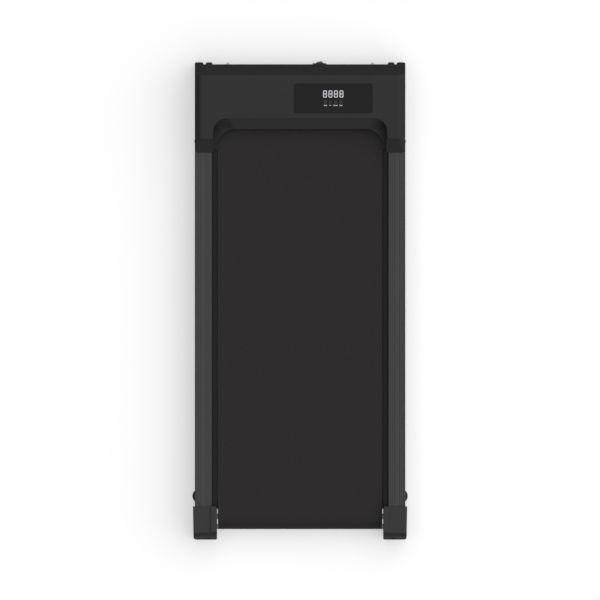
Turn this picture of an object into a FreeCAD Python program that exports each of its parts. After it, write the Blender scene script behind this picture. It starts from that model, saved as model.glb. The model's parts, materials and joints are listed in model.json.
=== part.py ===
import FreeCAD
import Part
import math
import os

# Walking pad: a slim treadmill with a low motor hood at the front.
# Millimetres. +X right, +Y towards the hood, +Z up, origin on the floor under the middle.

# Overall size
overall_length = 1107.0
frame_width = 487.0
hood_height = 120.0
tread_height = 84.0
foot_height = 20.0

# Clearances: between turning parts, fitted parts and neighbouring covers
running_gap = 0.05
fit_gap = 0.05
part_gap = 0.3
cover_gap = 0.1

# How far a cutting shape runs past a face, and what counts as the same height or point
past = 1.0
slack = 0.01
tiny = 1e-6

# Walking belt, deck and rollers
belt_margin = 53.5
belt_thickness = 2.0
belt_deck_gap = 0.2
belt_roller_gap = 0.3
deck_top = 72.0
deck_thickness = 15.0
deck_side_gap = 6.0
deck_end_gap = 9.0
deck_edge_round = 3.0
roller_radius = 27.5
roller_wall = 2.0
roller_crown = 0.4
roller_end_gap = 2.0
rear_axle_inset = 54.0
front_axle_inset = 114.0
shaft_radius = 6.0
shaft_end_reach = 14.0
shaft_chamfer = 1.0
bearing_radius = 16.0
bearing_width = 10.0
bearing_shield = 0.8
bearing_ring = 3.0
plug_length = 16.0
plug_bearing_inset = 2.0
plug_shoulder_radius = 12.0
tension_travel = 6.0

# Side frames and cross members
tube_width = 30.0
tube_height = 50.0
tube_wall = 2.0
tube_corner = 4.0
tube_skirt_gap = 3.0
tube_rear_inset = 11.5
tube_front_inset = 47.8
guard_roller_gap = 0.8
guard_shaft_gap = 5.0
guard_under_deck = 4.0
guard_deck_gap = 2.0
guard_height = 20.0
end_plate_thickness = 4.0
cross_width = 40.0
cross_height = 20.0
cross_wall = 1.5
cross_corner = 2.5
cushion_height = 12.0
cushion_radius = 11.0
cushion_waist = 2.0
cushion_inset = 6.0
cross_end_inset = 87.0
deck_screw_radius = 3.0
deck_screw_bite = 9.0
deck_screw_tip = 1.0
deck_screw_head_radius = 5.5
deck_screw_head_height = 3.5

# Tension bolts behind the rear roller
bolt_radius = 3.0
bolt_head_radius = 5.0
bolt_head_height = 6.0
bolt_socket_radius = 2.9
bolt_socket_depth = 3.0
bolt_length = 64.0
bolt_from_wall = 4.0
locking_screw_head = 4.0

# Side rails
tread_width = 39.0
rail_wall = 2.5
rail_skirt_foot = 24.0
rail_edge_round = 2.0
flange_top = 77.0
flange_gap = 1.5
groove_margin = 4.4
groove_pitch = 4.6
groove_count = 3
groove_width = 2.4
groove_depth = 0.6
rail_leg_inset = 5.0
rail_in_cap = 10.3
flange_tongue = 7.5
tongue_width = 7.5

# Motor hood
hood_length = 172.0
hood_wall = 2.8
hood_base = 12.0
hood_front_run = 25.2
hood_front_drop = 52.0
hood_side_run = 12.5
hood_side_drop = 13.0
hood_side_round = 12.0
hood_front_round = 3.0
hood_shoulder_round = 7.0
hood_corner_round = 10.0
scoop_foot = 79.0
scoop_step = 3.0
scoop_lip_height = 97.0
scoop_crease_top = 78.5
scoop_crease_lip = 90.5
scoop_crease_foot = 68.0
scoop_top_inset = 125.8
scoop_lip_inset = 149.4
scoop_top_side = 42.5
scoop_lip_side = 50.5
scoop_top_round = 30.0
scoop_lip_round = 44.0
scoop_edge_round = 1.8
scoop_overrun = 43.0
ear_reach = 4.7
ear_width = 19.9
ear_top = 52.0
ear_round = 4.0
eyelet_side_inset = 76.5
eyelet_radius = 3.4
eyelet_hole_radius = 1.9
eyelet_shift = 0.2
eyelet_height = 5.0
hood_boss_radius = 4.0
hood_boss_height = 20.0
hood_boss_side_inset = 57.5
hood_tab_thickness = 2.5
hood_tab_length = 16.0
hood_tab_width = 24.0

# Collars between the hood and the rails
collar_length = 31.7
collar_wall = 2.5
collar_tail_height = 2.0
collar_overlap = 5.0
collar_deck_gap = 1.5
collar_tail_bevel = 3.0
collar_tail_round = 1.5
collar_leg_width = 2.5
collar_screw_inset = 6.0

# Rear end caps
cap_length = 76.8
cap_wall = 2.5
cap_base = 12.0
cap_side = 4.2
cap_taper = 1.3
cap_belt_gap = 2.2
cheek_width = 14.3
cheek_rise = 3.5
cap_slope_start = 15.5
cap_slope_run = 7.0
cap_slope_drop = 12.5
cap_lip_fall = 2.0
cap_edge_round = 3.0
cap_corner_round = 6.0
cap_nose_round = 5.0
cap_shaft_gap = 1.0
cap_key_gap = 0.8
cap_notch_width = 8.0
cap_notch_depth = 4.0
cap_notch_drop = 12.0
cap_tab_thickness = 3.0
cap_tab_length = 24.0
cap_tab_inset = 24.0

# Belly pan
pan_thickness = 2.5
pan_lip_height = 5.0
pan_lip_wall = 2.0
pan_edge_round = 1.6
pan_foot_gap = 1.5
pan_boss_radius = 5.0
pan_screw_rear_inset = 18.0
pan_screw_front_inset = 58.0
vent_count = 8
vent_length = 36.0
vent_width = 4.0
vent_pitch = 12.0

# Self-tapping screws
screw_radius = 1.75
screw_head_radius = 3.6
screw_head_height = 1.8
screw_bite = 7.0

# Feet
rear_foot_radius = 17.5
front_foot_radius = 14.0
foot_taper = 4.0
foot_edge = 2.0
foot_band = 6.7
foot_recess_radius = 7.0
foot_recess_depth = 9.0
foot_screw_radius = 2.5
foot_screw_head_radius = 5.0
foot_screw_head_height = 3.5
rear_foot_inset = 100.8
rear_foot_side_inset = 12.0
front_foot_inset = 90.8

# Transport wheels
wheel_radius = 22.0
wheel_width = 15.5
wheel_floor_gap = 3.0
wheel_side_inset = 33.1
wheel_edge_round = 2.5
wheel_hub_radius = 9.0
wheel_rim = 4.5
wheel_web = 4.0
wheel_cheek_gap = 1.0
wheel_slot_gap = 2.0
axle_radius = 4.0
axle_head_radius = 6.5
axle_head_height = 4.0
bracket_sheet = 2.5
bracket_height = 14.0
bracket_nose = 9.0

# Motor and its drive
motor_ahead = 71.2
motor_height = 52.0
motor_radius = 34.0
motor_wall = 3.0
motor_can_length = 90.0
bell_length = 10.0
bell_step = 3.0
bell_boss_radius = 12.0
bell_vent_radius = 4.0
bell_vent_count = 6
bell_vent_circle = 22.0
rotor_shaft_radius = 5.0
armature_radius = 26.0
armature_gap = 8.0
armature_slot_count = 12
armature_slot_width = 3.0
armature_slot_depth = 7.0
fan_radius = 30.0
fan_gap = 4.0
fan_disc = 3.0
fan_blade_height = 8.0
fan_blade_width = 2.0
fan_blade_count = 10
fan_hub_radius = 10.0
rotor_end = 2.0
roller_pulley_radius = 26.0
motor_pulley_radius = 9.0
pulley_width = 11.0
pulley_groove_count = 4
pulley_groove_depth = 1.6
pulley_groove_share = 0.4
pulley_hub_length = 3.0
pulley_hub_radius = 18.0
pulley_shaft_gap = 0.5
pulley_motor_gap = 11.0
drive_belt_width = 9.5
drive_belt_thickness = 2.5
tray_thickness = 2.0
tray_height = 14.5
tray_side_inset = 53.5
tray_rear_gap = 4.4
tray_front_inset = 12.8
tray_lip = 7.0
tray_flange_height = 25.0
tray_tab_length = 28.0
saddle_width = 15.0
saddle_length = 48.0
saddle_height = 11.0
saddle_round = 2.75
saddle_end_inset = 10.0
motor_bolt_radius = 2.5
motor_bolt_head_radius = 4.0
motor_bolt_head_height = 2.0
motor_bolt_spread = 12.0
motor_bolt_bite = 1.6

# Control board
board_length = 150.0
board_depth = 42.0
board_thickness = 1.6
board_motor_gap = 12.0
board_lift = 8.0
board_inset = 9.0
standoff_radius = 3.0
standoff_inset = 5.0
sink_length = 60.0
sink_base = 4.0
sink_height = 30.0
sink_fin = 1.6
sink_fin_count = 8
sink_inset = 10.0
sink_margin = 4.0
capacitor_radius = 8.0
capacitor_height = 30.0
capacitor_count = 3
capacitor_pitch = 17.5
capacitor_place = 90.0
choke_radius = 11.0
choke_bore = 4.5
choke_height = 12.0
choke_place = 13.0

# Display
lens_width = 181.7
lens_length = 68.9
lens_center = 76.4
lens_front_inset = 44.4
lens_round = 6.0
lens_thickness = 1.6
window_width = 62.0
window_length = 46.0
display_board_width = 110.0
display_board_length = 56.0
display_board_drop = 7.6
led_block_width = 54.0
led_block_length = 26.0
led_block_shift = 9.0
display_post_radius = 3.0
display_post_inset = 5.0

# Power switch and inlet
switch_place = 44.7
switch_height = 36.0
bezel_width = 31.7
bezel_tall = 25.0
bezel_proud = 2.5
switch_body_width = 28.0
switch_body_tall = 22.0
switch_body_depth = 22.0
switch_round = 2.0
rocker_half = 10.0
rocker_tall = 17.0
rocker_arm = 17.0
rocker_roof = 5.5
rocker_reach = 7.7
rocker_tilt = 13.3
rocker_side_gap = 0.4
rocker_swing_half = 12.9
rocker_pin_radius = 2.0
rocker_pin_length = 1.5
rocker_heel = 3.0
rocker_floor_gap = 4.0
terminal_width = 6.3
terminal_thickness = 0.8
terminal_length = 8.0
terminal_pitch = 9.0
inlet_place = 110.0
inlet_height = 36.0
inlet_flange_width = 33.0
inlet_flange_tall = 26.0
inlet_flange_thickness = 1.5
inlet_body_width = 27.5
inlet_body_tall = 20.0
inlet_body_depth = 22.0
inlet_socket_width = 24.0
inlet_socket_tall = 16.5
inlet_socket_depth = 17.0
inlet_socket_chamfer = 5.0
pin_width = 4.0
pin_thickness = 2.0
pin_length = 14.0
pin_tail = 7.0
pin_spread = 7.0
pin_rise = 2.0

# Places worked out from the sizes above
half_width = frame_width / 2
half_length = overall_length / 2
belt_half = half_width - belt_margin
rocker_lean = math.radians(rocker_tilt)
hood_front = half_length - rocker_reach
hood_rear = hood_front - hood_length
ear_front = hood_front + ear_reach
belt_inner = roller_radius + belt_roller_gap
belt_outer = belt_inner + belt_thickness
belt_top = deck_top + belt_deck_gap + belt_thickness
axle_height = belt_top - belt_outer
rear_axle = -half_length + rear_axle_inset
front_axle = hood_front - front_axle_inset
roller_half = belt_half - roller_end_gap
deck_bottom = deck_top - deck_thickness
deck_rear = rear_axle + roller_radius + deck_end_gap
deck_front = front_axle - roller_radius - deck_end_gap
cross_top = deck_bottom - cushion_height
cross_bottom = cross_top - cross_height
tube_outer = half_width - rail_wall - tube_skirt_gap
tube_inner = tube_outer - tube_width
tube_middle = tube_outer - tube_width / 2
tube_top = foot_height + tube_height
deck_half = tube_inner - deck_side_gap
tube_rear = -half_length + tube_rear_inset
tube_front = hood_front - tube_front_inset
end_plate_rear = tube_rear - end_plate_thickness
shaft_half = tube_inner + shaft_end_reach
bolt_place = tube_inner + tube_wall + bolt_from_wall
tread_inner = half_width - tread_width
flange_inner = belt_half + flange_gap
collar_inner = tread_inner - collar_overlap
flange_bottom = flange_top - rail_wall
collar_front = hood_rear - cover_gap
collar_rear = collar_front - collar_length
rail_front = collar_rear - cover_gap
cap_rear = -half_length
cap_front = cap_rear + cap_length
cap_inner = belt_half + cap_belt_gap
cap_outer = half_width + cap_side
cap_top = tread_height + part_gap + cap_wall
rail_rear = cap_front - rail_in_cap
motor_axle = front_axle + motor_ahead
pulley_outer = -roller_half - pulley_hub_length - running_gap - pulley_width
pulley_inner = pulley_outer + pulley_width
can_left = pulley_inner + pulley_motor_gap + bell_length
can_right = can_left + motor_can_length
fan_start = can_right + bell_length + fan_gap
fan_end = fan_start + fan_disc
blades_end = fan_end + fan_blade_height
board_left = blades_end + rotor_end + board_motor_gap
tray_top = tray_height + tray_thickness
tray_rear = front_axle + belt_outer + tray_rear_gap
tray_front = hood_front - tray_front_inset
tray_half = half_width - tray_side_inset
wheel_axle = ear_front - wheel_radius
wheel_height = wheel_radius + wheel_floor_gap
wheel_center = half_width - wheel_side_inset
wheel_inner = wheel_center - wheel_width / 2
wheel_outer = wheel_center + wheel_width / 2
bracket_inner = wheel_inner - wheel_cheek_gap - bracket_sheet
bracket_outer = wheel_outer + wheel_cheek_gap + bracket_sheet
rear_foot = -half_length + rear_foot_inset
rear_foot_place = half_width - rear_foot_side_inset
front_foot = hood_front - front_foot_inset
pan_bottom = hood_base - pan_thickness
lens_bottom = hood_height - lens_thickness
lens_middle = hood_front - lens_front_inset - lens_length / 2
hood_ceiling = hood_height - hood_wall
hood_boss_place = half_width - hood_boss_side_inset
eyelet_place = half_width - eyelet_side_inset
scoop_top_half = half_width - scoop_top_side
scoop_lip_half = half_width - scoop_lip_side
display_board_top = hood_ceiling - display_board_drop
board_rear = tray_rear + board_inset
board_bottom = tray_top + board_lift
board_top = board_bottom + board_thickness
pivot = half_length - rocker_arm * math.cos(rocker_lean)
bezel_front = hood_front + bezel_proud


# Small shape helpers

def point(x, y, z):
    return FreeCAD.Vector(x, y, z)


def box(x, y, z):
    return Part.makeBox(x[1] - x[0], y[1] - y[0], z[1] - z[0], point(x[0], y[0], z[0]))


def rod(radius, start, end):
    axis = end - start
    return Part.makeCylinder(radius, axis.Length, start, axis)


def rod_x(radius, x, y, z):
    return rod(radius, point(x[0], y, z), point(x[1], y, z))


def rod_y(radius, x, y, z):
    return rod(radius, point(x, y[0], z), point(x, y[1], z))


def rod_z(radius, x, y, z):
    return rod(radius, point(x, y, z[0]), point(x, y, z[1]))


def rounded_wire(corners, radii):
    """A closed flat outline through corners, each rounded by its radius."""
    edges = []
    ends = []
    count = len(corners)
    for i in range(count):
        here = corners[i]
        back = (corners[i - 1] - here).normalize()
        ahead = (corners[(i + 1) % count] - here).normalize()
        if radii[i] <= 0:
            ends.append((here, here))
            continue
        half = back.getAngle(ahead) / 2
        middle = (back + ahead).normalize()
        reach = radii[i] / math.tan(half)
        start = here + back * reach
        end = here + ahead * reach
        crown = here + middle * (radii[i] / math.sin(half) - radii[i])
        edges.append(Part.Arc(start, crown, end).toShape())
        ends.append((start, end))
    for i in range(count):
        leave = ends[i][1]
        arrive = ends[(i + 1) % count][0]
        if leave.distanceToPoint(arrive) > tiny:
            edges.append(Part.LineSegment(leave, arrive).toShape())
    return Part.Wire(Part.__sortEdges__(edges))


def spread(radii, count):
    return radii if isinstance(radii, (list, tuple)) else [radii] * count


def extrude_x(outline, x, radii=0.0):
    """An outline of (y, z) corners carried along X."""
    corners = [point(x[0], y, z) for y, z in outline]
    wire = rounded_wire(corners, spread(radii, len(corners)))
    return Part.Face(wire).extrude(point(x[1] - x[0], 0, 0))


def extrude_y(outline, y, radii=0.0):
    """An outline of (x, z) corners carried along Y."""
    corners = [point(x, y[0], z) for x, z in outline]
    wire = rounded_wire(corners, spread(radii, len(corners)))
    return Part.Face(wire).extrude(point(0, y[1] - y[0], 0))


def extrude_z(outline, z, radii=0.0):
    """An outline of (x, y) corners carried along Z."""
    corners = [point(x, y, z[0]) for x, y in outline]
    wire = rounded_wire(corners, spread(radii, len(corners)))
    return Part.Face(wire).extrude(point(0, 0, z[1] - z[0]))


def rectangle(a, b):
    return [(a[0], b[0]), (a[1], b[0]), (a[1], b[1]), (a[0], b[1])]


def around(center, size):
    return (center - size / 2, center + size / 2)


def turn_x(outline, y, z):
    """An outline of (x, radius) corners turned about an axis along X."""
    corners = [point(x, y, z + radius) for x, radius in outline]
    face = Part.Face(Part.makePolygon(corners + corners[:1]))
    return face.revolve(point(0, y, z), point(1, 0, 0), 360)


def turn_z(outline, x, y):
    """An outline of (radius, z) corners turned about an upright axis."""
    corners = [point(x + radius, y, z) for radius, z in outline]
    face = Part.Face(Part.makePolygon(corners + corners[:1]))
    return face.revolve(point(x, y, 0), point(0, 0, 1), 360)


def hexagon(radius, a, b):
    turns = [i * math.pi / 3 for i in range(6)]
    return [(a + radius * math.cos(turn), b + radius * math.sin(turn)) for turn in turns]


def mirrored(shape):
    return shape.mirror(point(0, 0, 0), point(1, 0, 0))


def both_sides(shape):
    return Part.makeCompound([shape, mirrored(shape)])


def fuse_all(shapes):
    return shapes[0].fuse(shapes[1:]).removeSplitter()


def loop_outline(rear, front, x):
    """The outline round two circles, each (y, z, radius), with straight runs between them."""
    run = math.hypot(front[0] - rear[0], front[1] - rear[1])
    heading = math.atan2(front[1] - rear[1], front[0] - rear[0])
    lift = math.acos((rear[2] - front[2]) / run)

    def at(circle, angle):
        return point(x, circle[0] + circle[2] * math.cos(angle), circle[1] + circle[2] * math.sin(angle))

    top_rear = at(rear, heading + lift)
    top_front = at(front, heading + lift)
    low_front = at(front, heading - lift)
    low_rear = at(rear, heading - lift)
    edges = [
        Part.LineSegment(top_rear, top_front).toShape(),
        Part.Arc(top_front, at(front, heading), low_front).toShape(),
        Part.LineSegment(low_front, low_rear).toShape(),
        Part.Arc(low_rear, at(rear, heading + math.pi), top_rear).toShape(),
    ]
    return Part.Face(Part.Wire(edges))


def loop_belt(rear, front, thickness, x):
    """A flat belt round two pulleys, each (y, z, radius of the belt's inside)."""
    width = point(x[1] - x[0], 0, 0)
    grown = [(circle[0], circle[1], circle[2] + thickness) for circle in (rear, front)]
    outside = loop_outline(grown[0], grown[1], x[0]).extrude(width)
    inside = loop_outline(rear, front, x[0]).extrude(width)
    return outside.cut(inside)


# Frame: tubes, cross members, tray and plates

def rear_shaft_slot(radius, x):
    """The long hole that lets the rear shaft move forward to slacken the belt."""
    ends = [rod_x(radius, x, rear_axle + move, axle_height) for move in (0.0, tension_travel)]
    middle = box(x, (rear_axle, rear_axle + tension_travel), (axle_height - radius, axle_height + radius))
    return fuse_all(ends + [middle])


def nip_guard():
    """A lug on the tube that closes the gap between the deck and the end of the rear roller."""
    inner = roller_half + guard_roller_gap
    top = deck_top - deck_thickness - guard_deck_gap
    height = (top - guard_height, top)
    rear = rear_axle + tension_travel + shaft_radius + guard_shaft_gap
    middle = cap_front + part_gap
    lug = box((inner, tube_inner + tube_wall), (middle, deck_rear + guard_under_deck), height)
    tail = box((inner, cap_inner - part_gap), (rear, middle), height)
    return fuse_all([lug, tail])


def side_frame():
    section = rectangle((tube_inner, tube_outer), (foot_height, tube_top))
    outside = extrude_y(section, (tube_rear, tube_front), tube_corner)
    hollow = rectangle(
        (tube_inner + tube_wall, tube_outer - tube_wall),
        (foot_height + tube_wall, tube_top - tube_wall),
    )
    inside = extrude_y(hollow, (tube_rear - past, tube_front + past), tube_corner - tube_wall)
    inner_wall = (tube_inner - past, tube_inner + tube_wall + past)
    bottom_wall = (foot_height - past, foot_height + tube_wall + past)
    top_wall = (tube_top - tube_wall - past, tube_top + past)
    outer_wall = (tube_outer - tube_wall - past, tube_outer + past)
    holes = [
        rear_shaft_slot(shaft_radius + part_gap, inner_wall),
        rod_x(shaft_radius + fit_gap, inner_wall, front_axle, axle_height),
        rod_z(bolt_radius + fit_gap, bolt_place, front_axle, top_wall),
        rod_z(foot_screw_radius + fit_gap, rear_foot_place, rear_foot, bottom_wall),
        rod_z(foot_screw_radius + fit_gap, tube_middle, front_foot, bottom_wall),
        rod_z(screw_radius + fit_gap, tube_middle, cap_screw_place(), bottom_wall),
        rod_z(screw_radius + fit_gap, tube_middle, hood_screw_place(), top_wall),
        rod_x(screw_radius + fit_gap, outer_wall, collar_screw_place(), collar_screw_height()),
    ]
    holes += [rod_z(screw_radius + fit_gap, tube_middle, y, bottom_wall) for y in pan_frame_screws()]
    return outside.cut(inside).cut(holes).fuse(nip_guard()).removeSplitter()


def cross_places():
    rear = deck_rear + cross_end_inset
    front = deck_front - cross_end_inset
    return [rear, (rear + front) / 2, front]


def cushion_place():
    return deck_half - cushion_inset


def deck_screw_spots():
    return [(side * cushion_place(), y) for y in cross_places() for side in (-1, 1)]


def cross_member(y):
    outside = extrude_x(
        rectangle(around(y, cross_width), (cross_bottom, cross_top)),
        (-tube_inner, tube_inner),
        cross_corner,
    )
    hollow_height = (cross_bottom + cross_wall, cross_top - cross_wall)
    inside = extrude_x(
        rectangle(around(y, cross_width - 2 * cross_wall), hollow_height),
        (-tube_inner, tube_inner),
        cross_corner - cross_wall,
    )
    reach = (cross_bottom - past, cross_top + past)
    holes = [rod_z(deck_screw_radius + fit_gap, side * cushion_place(), y, reach) for side in (-1, 1)]
    return outside.cut(inside).cut(holes)


def rear_end_plate():
    plate = extrude_y(
        rectangle((tube_inner, tube_outer), (foot_height, tube_top)),
        (end_plate_rear, tube_rear),
        tube_corner,
    )
    through = (end_plate_rear - past, tube_rear + past)
    return plate.cut(rod_y(bolt_radius + running_gap, bolt_place, through, axle_height))


def motor_tray():
    floor_outline = [
        (-tube_inner, tray_rear),
        (tube_inner, tray_rear),
        (tube_inner, tray_rear + tray_tab_length),
        (tray_half, tray_rear + tray_tab_length),
        (tray_half, tray_front),
        (-tray_half, tray_front),
        (-tray_half, tray_rear + tray_tab_length),
        (-tube_inner, tray_rear + tray_tab_length),
    ]
    pieces = [extrude_z(floor_outline, (tray_height, tray_top))]
    lip_height = (tray_top, tray_top + tray_lip)
    pieces.append(box((-tray_half, tray_half), (tray_front - tray_thickness, tray_front), lip_height))
    for side in (-1, 1):
        wall = sorted((side * tube_inner, side * (tube_inner - tray_thickness)))
        tab = (tray_rear, tray_rear + tray_tab_length)
        pieces.append(box(wall, tab, (tray_top, tray_top + tray_flange_height)))
    holes = motor_bolt_rods(motor_bolt_radius + fit_gap)
    return fuse_all(pieces).cut(holes)


# Deck

def deck_board():
    outline = rectangle((-deck_half, deck_half), (deck_bottom, deck_top))
    board = extrude_y(outline, (deck_rear, deck_front), deck_edge_round)
    reach = (deck_bottom - past, deck_bottom + deck_screw_bite)
    holes = [rod_z(deck_screw_radius + fit_gap, x, y, reach) for x, y in deck_screw_spots()]
    return board.cut(holes)


def deck_cushion(x, y):
    middle = (cross_top + deck_bottom) / 2
    bore = deck_screw_radius + fit_gap
    outline = [
        (bore, cross_top),
        (cushion_radius, cross_top),
        (cushion_radius - cushion_waist, middle),
        (cushion_radius, deck_bottom),
        (bore, deck_bottom),
    ]
    return turn_z(outline, x, y)


def deck_screw(x, y):
    head = rod_z(deck_screw_head_radius, x, y, (cross_bottom - deck_screw_head_height, cross_bottom))
    shank = rod_z(deck_screw_radius, x, y, (cross_bottom, deck_bottom + deck_screw_bite - deck_screw_tip))
    return fuse_all([head, shank])


# Rollers

def roller_tube(y):
    """A steel tube, a little fuller at the middle so that the belt runs true."""
    end_radius = roller_radius - roller_crown
    bore = roller_radius - roller_crown - roller_wall
    left = point(-roller_half, y, axle_height + end_radius)
    middle = point(0, y, axle_height + roller_radius)
    right = point(roller_half, y, axle_height + end_radius)
    low_right = point(roller_half, y, axle_height + bore)
    low_left = point(-roller_half, y, axle_height + bore)
    edges = [
        Part.Arc(left, middle, right).toShape(),
        Part.LineSegment(right, low_right).toShape(),
        Part.LineSegment(low_right, low_left).toShape(),
        Part.LineSegment(low_left, left).toShape(),
    ]
    face = Part.Face(Part.Wire(edges))
    return face.revolve(point(0, y, axle_height), point(1, 0, 0), 360)


def roller_plug(y):
    outer = roller_radius - roller_crown - roller_wall - fit_gap
    bore = bearing_radius + fit_gap
    shoulder = roller_half - plug_bearing_inset - bearing_width
    outline = [
        (roller_half - plug_length, plug_shoulder_radius),
        (roller_half - plug_length, outer),
        (roller_half, outer),
        (roller_half, bore),
        (shoulder, bore),
        (shoulder, plug_shoulder_radius),
    ]
    return both_sides(turn_x(outline, y, axle_height))


def roller_bearing(y):
    outer_face = roller_half - plug_bearing_inset
    inner_face = outer_face - bearing_width
    bore = shaft_radius + running_gap
    outline = [
        (inner_face, bore),
        (inner_face, bearing_radius),
        (outer_face, bearing_radius),
        (outer_face, bearing_radius - bearing_ring),
        (outer_face - bearing_shield, bearing_radius - bearing_ring),
        (outer_face - bearing_shield, bore + bearing_ring),
        (outer_face, bore + bearing_ring),
        (outer_face, bore),
    ]
    return both_sides(turn_x(outline, y, axle_height))


def roller_shaft(y):
    outline = [
        (-shaft_half, 0),
        (-shaft_half, shaft_radius - shaft_chamfer),
        (-shaft_half + shaft_chamfer, shaft_radius),
        (shaft_half - shaft_chamfer, shaft_radius),
        (shaft_half, shaft_radius - shaft_chamfer),
        (shaft_half, 0),
    ]
    return turn_x(outline, y, axle_height)


def front_roller_shaft():
    reach = (axle_height - shaft_radius - past, axle_height + shaft_radius + past)
    holes = [rod_z(bolt_radius + fit_gap, side * bolt_place, front_axle, reach) for side in (-1, 1)]
    return roller_shaft(front_axle).cut(holes)


def front_shaft_screw():
    """An upright screw that holds the front shaft in the side frame."""
    top = tube_top + locking_screw_head
    head = rod_z(bolt_head_radius, bolt_place, front_axle, (tube_top, top))
    socket = extrude_z(hexagon(bolt_socket_radius, bolt_place, front_axle), (top - bolt_socket_depth, top))
    shank = rod_z(bolt_radius, bolt_place, front_axle, (axle_height - shaft_radius, tube_top))
    return fuse_all([head, shank]).cut(socket)


def rear_roller_shaft():
    reach = (rear_axle - shaft_radius - past, rear_axle + shaft_radius + past)
    holes = [rod_y(bolt_radius + running_gap, side * bolt_place, reach, axle_height) for side in (-1, 1)]
    return roller_shaft(rear_axle).cut(holes)


def tension_bolt():
    mouth = end_plate_rear - bolt_head_height
    head = rod_y(bolt_head_radius, bolt_place, (mouth, end_plate_rear), axle_height)
    shank = rod_y(bolt_radius, bolt_place, (end_plate_rear, end_plate_rear + bolt_length), axle_height)
    key = hexagon(bolt_socket_radius, bolt_place, axle_height)
    socket = extrude_y(key, (mouth, mouth + bolt_socket_depth))
    return fuse_all([head, shank]).cut(socket)


def walking_belt():
    rear = (rear_axle, axle_height, belt_inner)
    front = (front_axle, axle_height, belt_inner)
    return loop_belt(rear, front, belt_thickness, (-belt_half, belt_half))


# Drive

def pulley_outline(radius, bore, start, end):
    """A ribbed pulley's rim between two places on the axis, with its bore."""
    pitch = (end - start) / (pulley_groove_count + 1)
    outline = [(start, bore), (start, radius)]
    for i in range(pulley_groove_count):
        middle = start + pitch * (i + 1)
        outline.append((middle - pitch * pulley_groove_share, radius))
        outline.append((middle, radius - pulley_groove_depth))
        outline.append((middle + pitch * pulley_groove_share, radius))
    return outline + [(end, radius), (end, bore)]


def roller_pulley():
    bore = shaft_radius + pulley_shaft_gap
    rim_outline = pulley_outline(roller_pulley_radius, bore, pulley_outer, pulley_inner)
    rim = turn_x(rim_outline, front_axle, axle_height)
    hub_outline = rectangle((pulley_inner, -roller_half), (bore, pulley_hub_radius))
    hub = turn_x(hub_outline, front_axle, axle_height)
    return fuse_all([rim, hub])


def motor_pulley():
    bore = rotor_shaft_radius + fit_gap
    outline = pulley_outline(motor_pulley_radius, bore, pulley_outer, pulley_inner)
    return turn_x(outline, motor_axle, motor_height)


def drive_belt():
    middle = (pulley_outer + pulley_inner) / 2
    rear = (front_axle, axle_height, roller_pulley_radius + part_gap)
    front = (motor_axle, motor_height, motor_pulley_radius + part_gap)
    return loop_belt(rear, front, drive_belt_thickness, around(middle, drive_belt_width))


def motor_can():
    inside = motor_radius - motor_wall
    outline = [(can_left, inside), (can_left, motor_radius), (can_right, motor_radius), (can_right, inside)]
    return turn_x(outline, motor_axle, motor_height).cut(motor_bolt_rods(motor_bolt_radius + fit_gap))


def motor_bell(face, outward):
    """An end bell: a disc that seats on the can, stepped down to the shaft's bush."""
    rim = face + outward * (bell_length - bell_step)
    end = face + outward * bell_length
    bore = rotor_shaft_radius + running_gap
    outline = [
        (face, bore),
        (face, motor_radius),
        (rim, motor_radius),
        (rim, bell_boss_radius + bell_vent_circle / 2),
        (end, bell_boss_radius),
        (end, bore),
    ]
    bell = turn_x(outline, motor_axle, motor_height)
    vents = []
    for i in range(bell_vent_count):
        angle = 2 * math.pi * i / bell_vent_count
        y = motor_axle + bell_vent_circle * math.cos(angle)
        z = motor_height + bell_vent_circle * math.sin(angle)
        vents.append(rod_x(bell_vent_radius, sorted((face - outward, end + outward)), y, z))
    return bell.cut(vents)


def armature():
    start = can_left + armature_gap
    end = can_right - armature_gap
    core = rod_x(armature_radius, (start, end), motor_axle, motor_height)
    slots = []
    for i in range(armature_slot_count):
        slot = box(
            (start - past, end + past),
            around(motor_axle, armature_slot_width),
            (motor_height + armature_radius - armature_slot_depth, motor_height + armature_radius + past),
        )
        slot.rotate(point(0, motor_axle, motor_height), point(1, 0, 0), 360 * i / armature_slot_count)
        slots.append(slot)
    return core.cut(slots)


def motor_rotor():
    reach = (pulley_outer - rotor_end, blades_end + rotor_end)
    shaft = rod_x(rotor_shaft_radius, reach, motor_axle, motor_height)
    disc = rod_x(fan_radius, (fan_start, fan_end), motor_axle, motor_height)
    hub = rod_x(fan_hub_radius, (fan_end, blades_end), motor_axle, motor_height)
    blades = []
    for i in range(fan_blade_count):
        blade = box(
            (fan_end, blades_end),
            around(motor_axle, fan_blade_width),
            (motor_height + fan_hub_radius - past, motor_height + fan_radius),
        )
        blade.rotate(point(0, motor_axle, motor_height), point(1, 0, 0), 360 * i / fan_blade_count)
        blades.append(blade)
    return fuse_all([shaft, armature(), disc, hub] + blades)


def saddle_places():
    start = can_left + saddle_end_inset
    end = can_right - saddle_end_inset - saddle_width
    return [start, end]


def motor_bolt_spots():
    spots = []
    for start in saddle_places():
        for side in (-1, 1):
            spots.append((start + saddle_width / 2, motor_axle + side * motor_bolt_spread))
    return spots


def motor_bolt_top():
    drop = math.sqrt(motor_radius ** 2 - motor_bolt_spread ** 2)
    return motor_height - drop + motor_bolt_bite


def motor_bolt_rods(radius):
    return [rod_z(radius, x, y, (tray_height, motor_bolt_top() + running_gap)) for x, y in motor_bolt_spots()]


def motor_saddle(start):
    block = extrude_x(
        rectangle(around(motor_axle, saddle_length), (tray_top, tray_top + saddle_height)),
        (start, start + saddle_width),
        [0, 0, saddle_round, saddle_round],
    )
    reach = (start - past, start + saddle_width + past)
    seat = rod_x(motor_radius + fit_gap, reach, motor_axle, motor_height)
    return block.cut(seat).cut(motor_bolt_rods(motor_bolt_radius + fit_gap))


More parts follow.
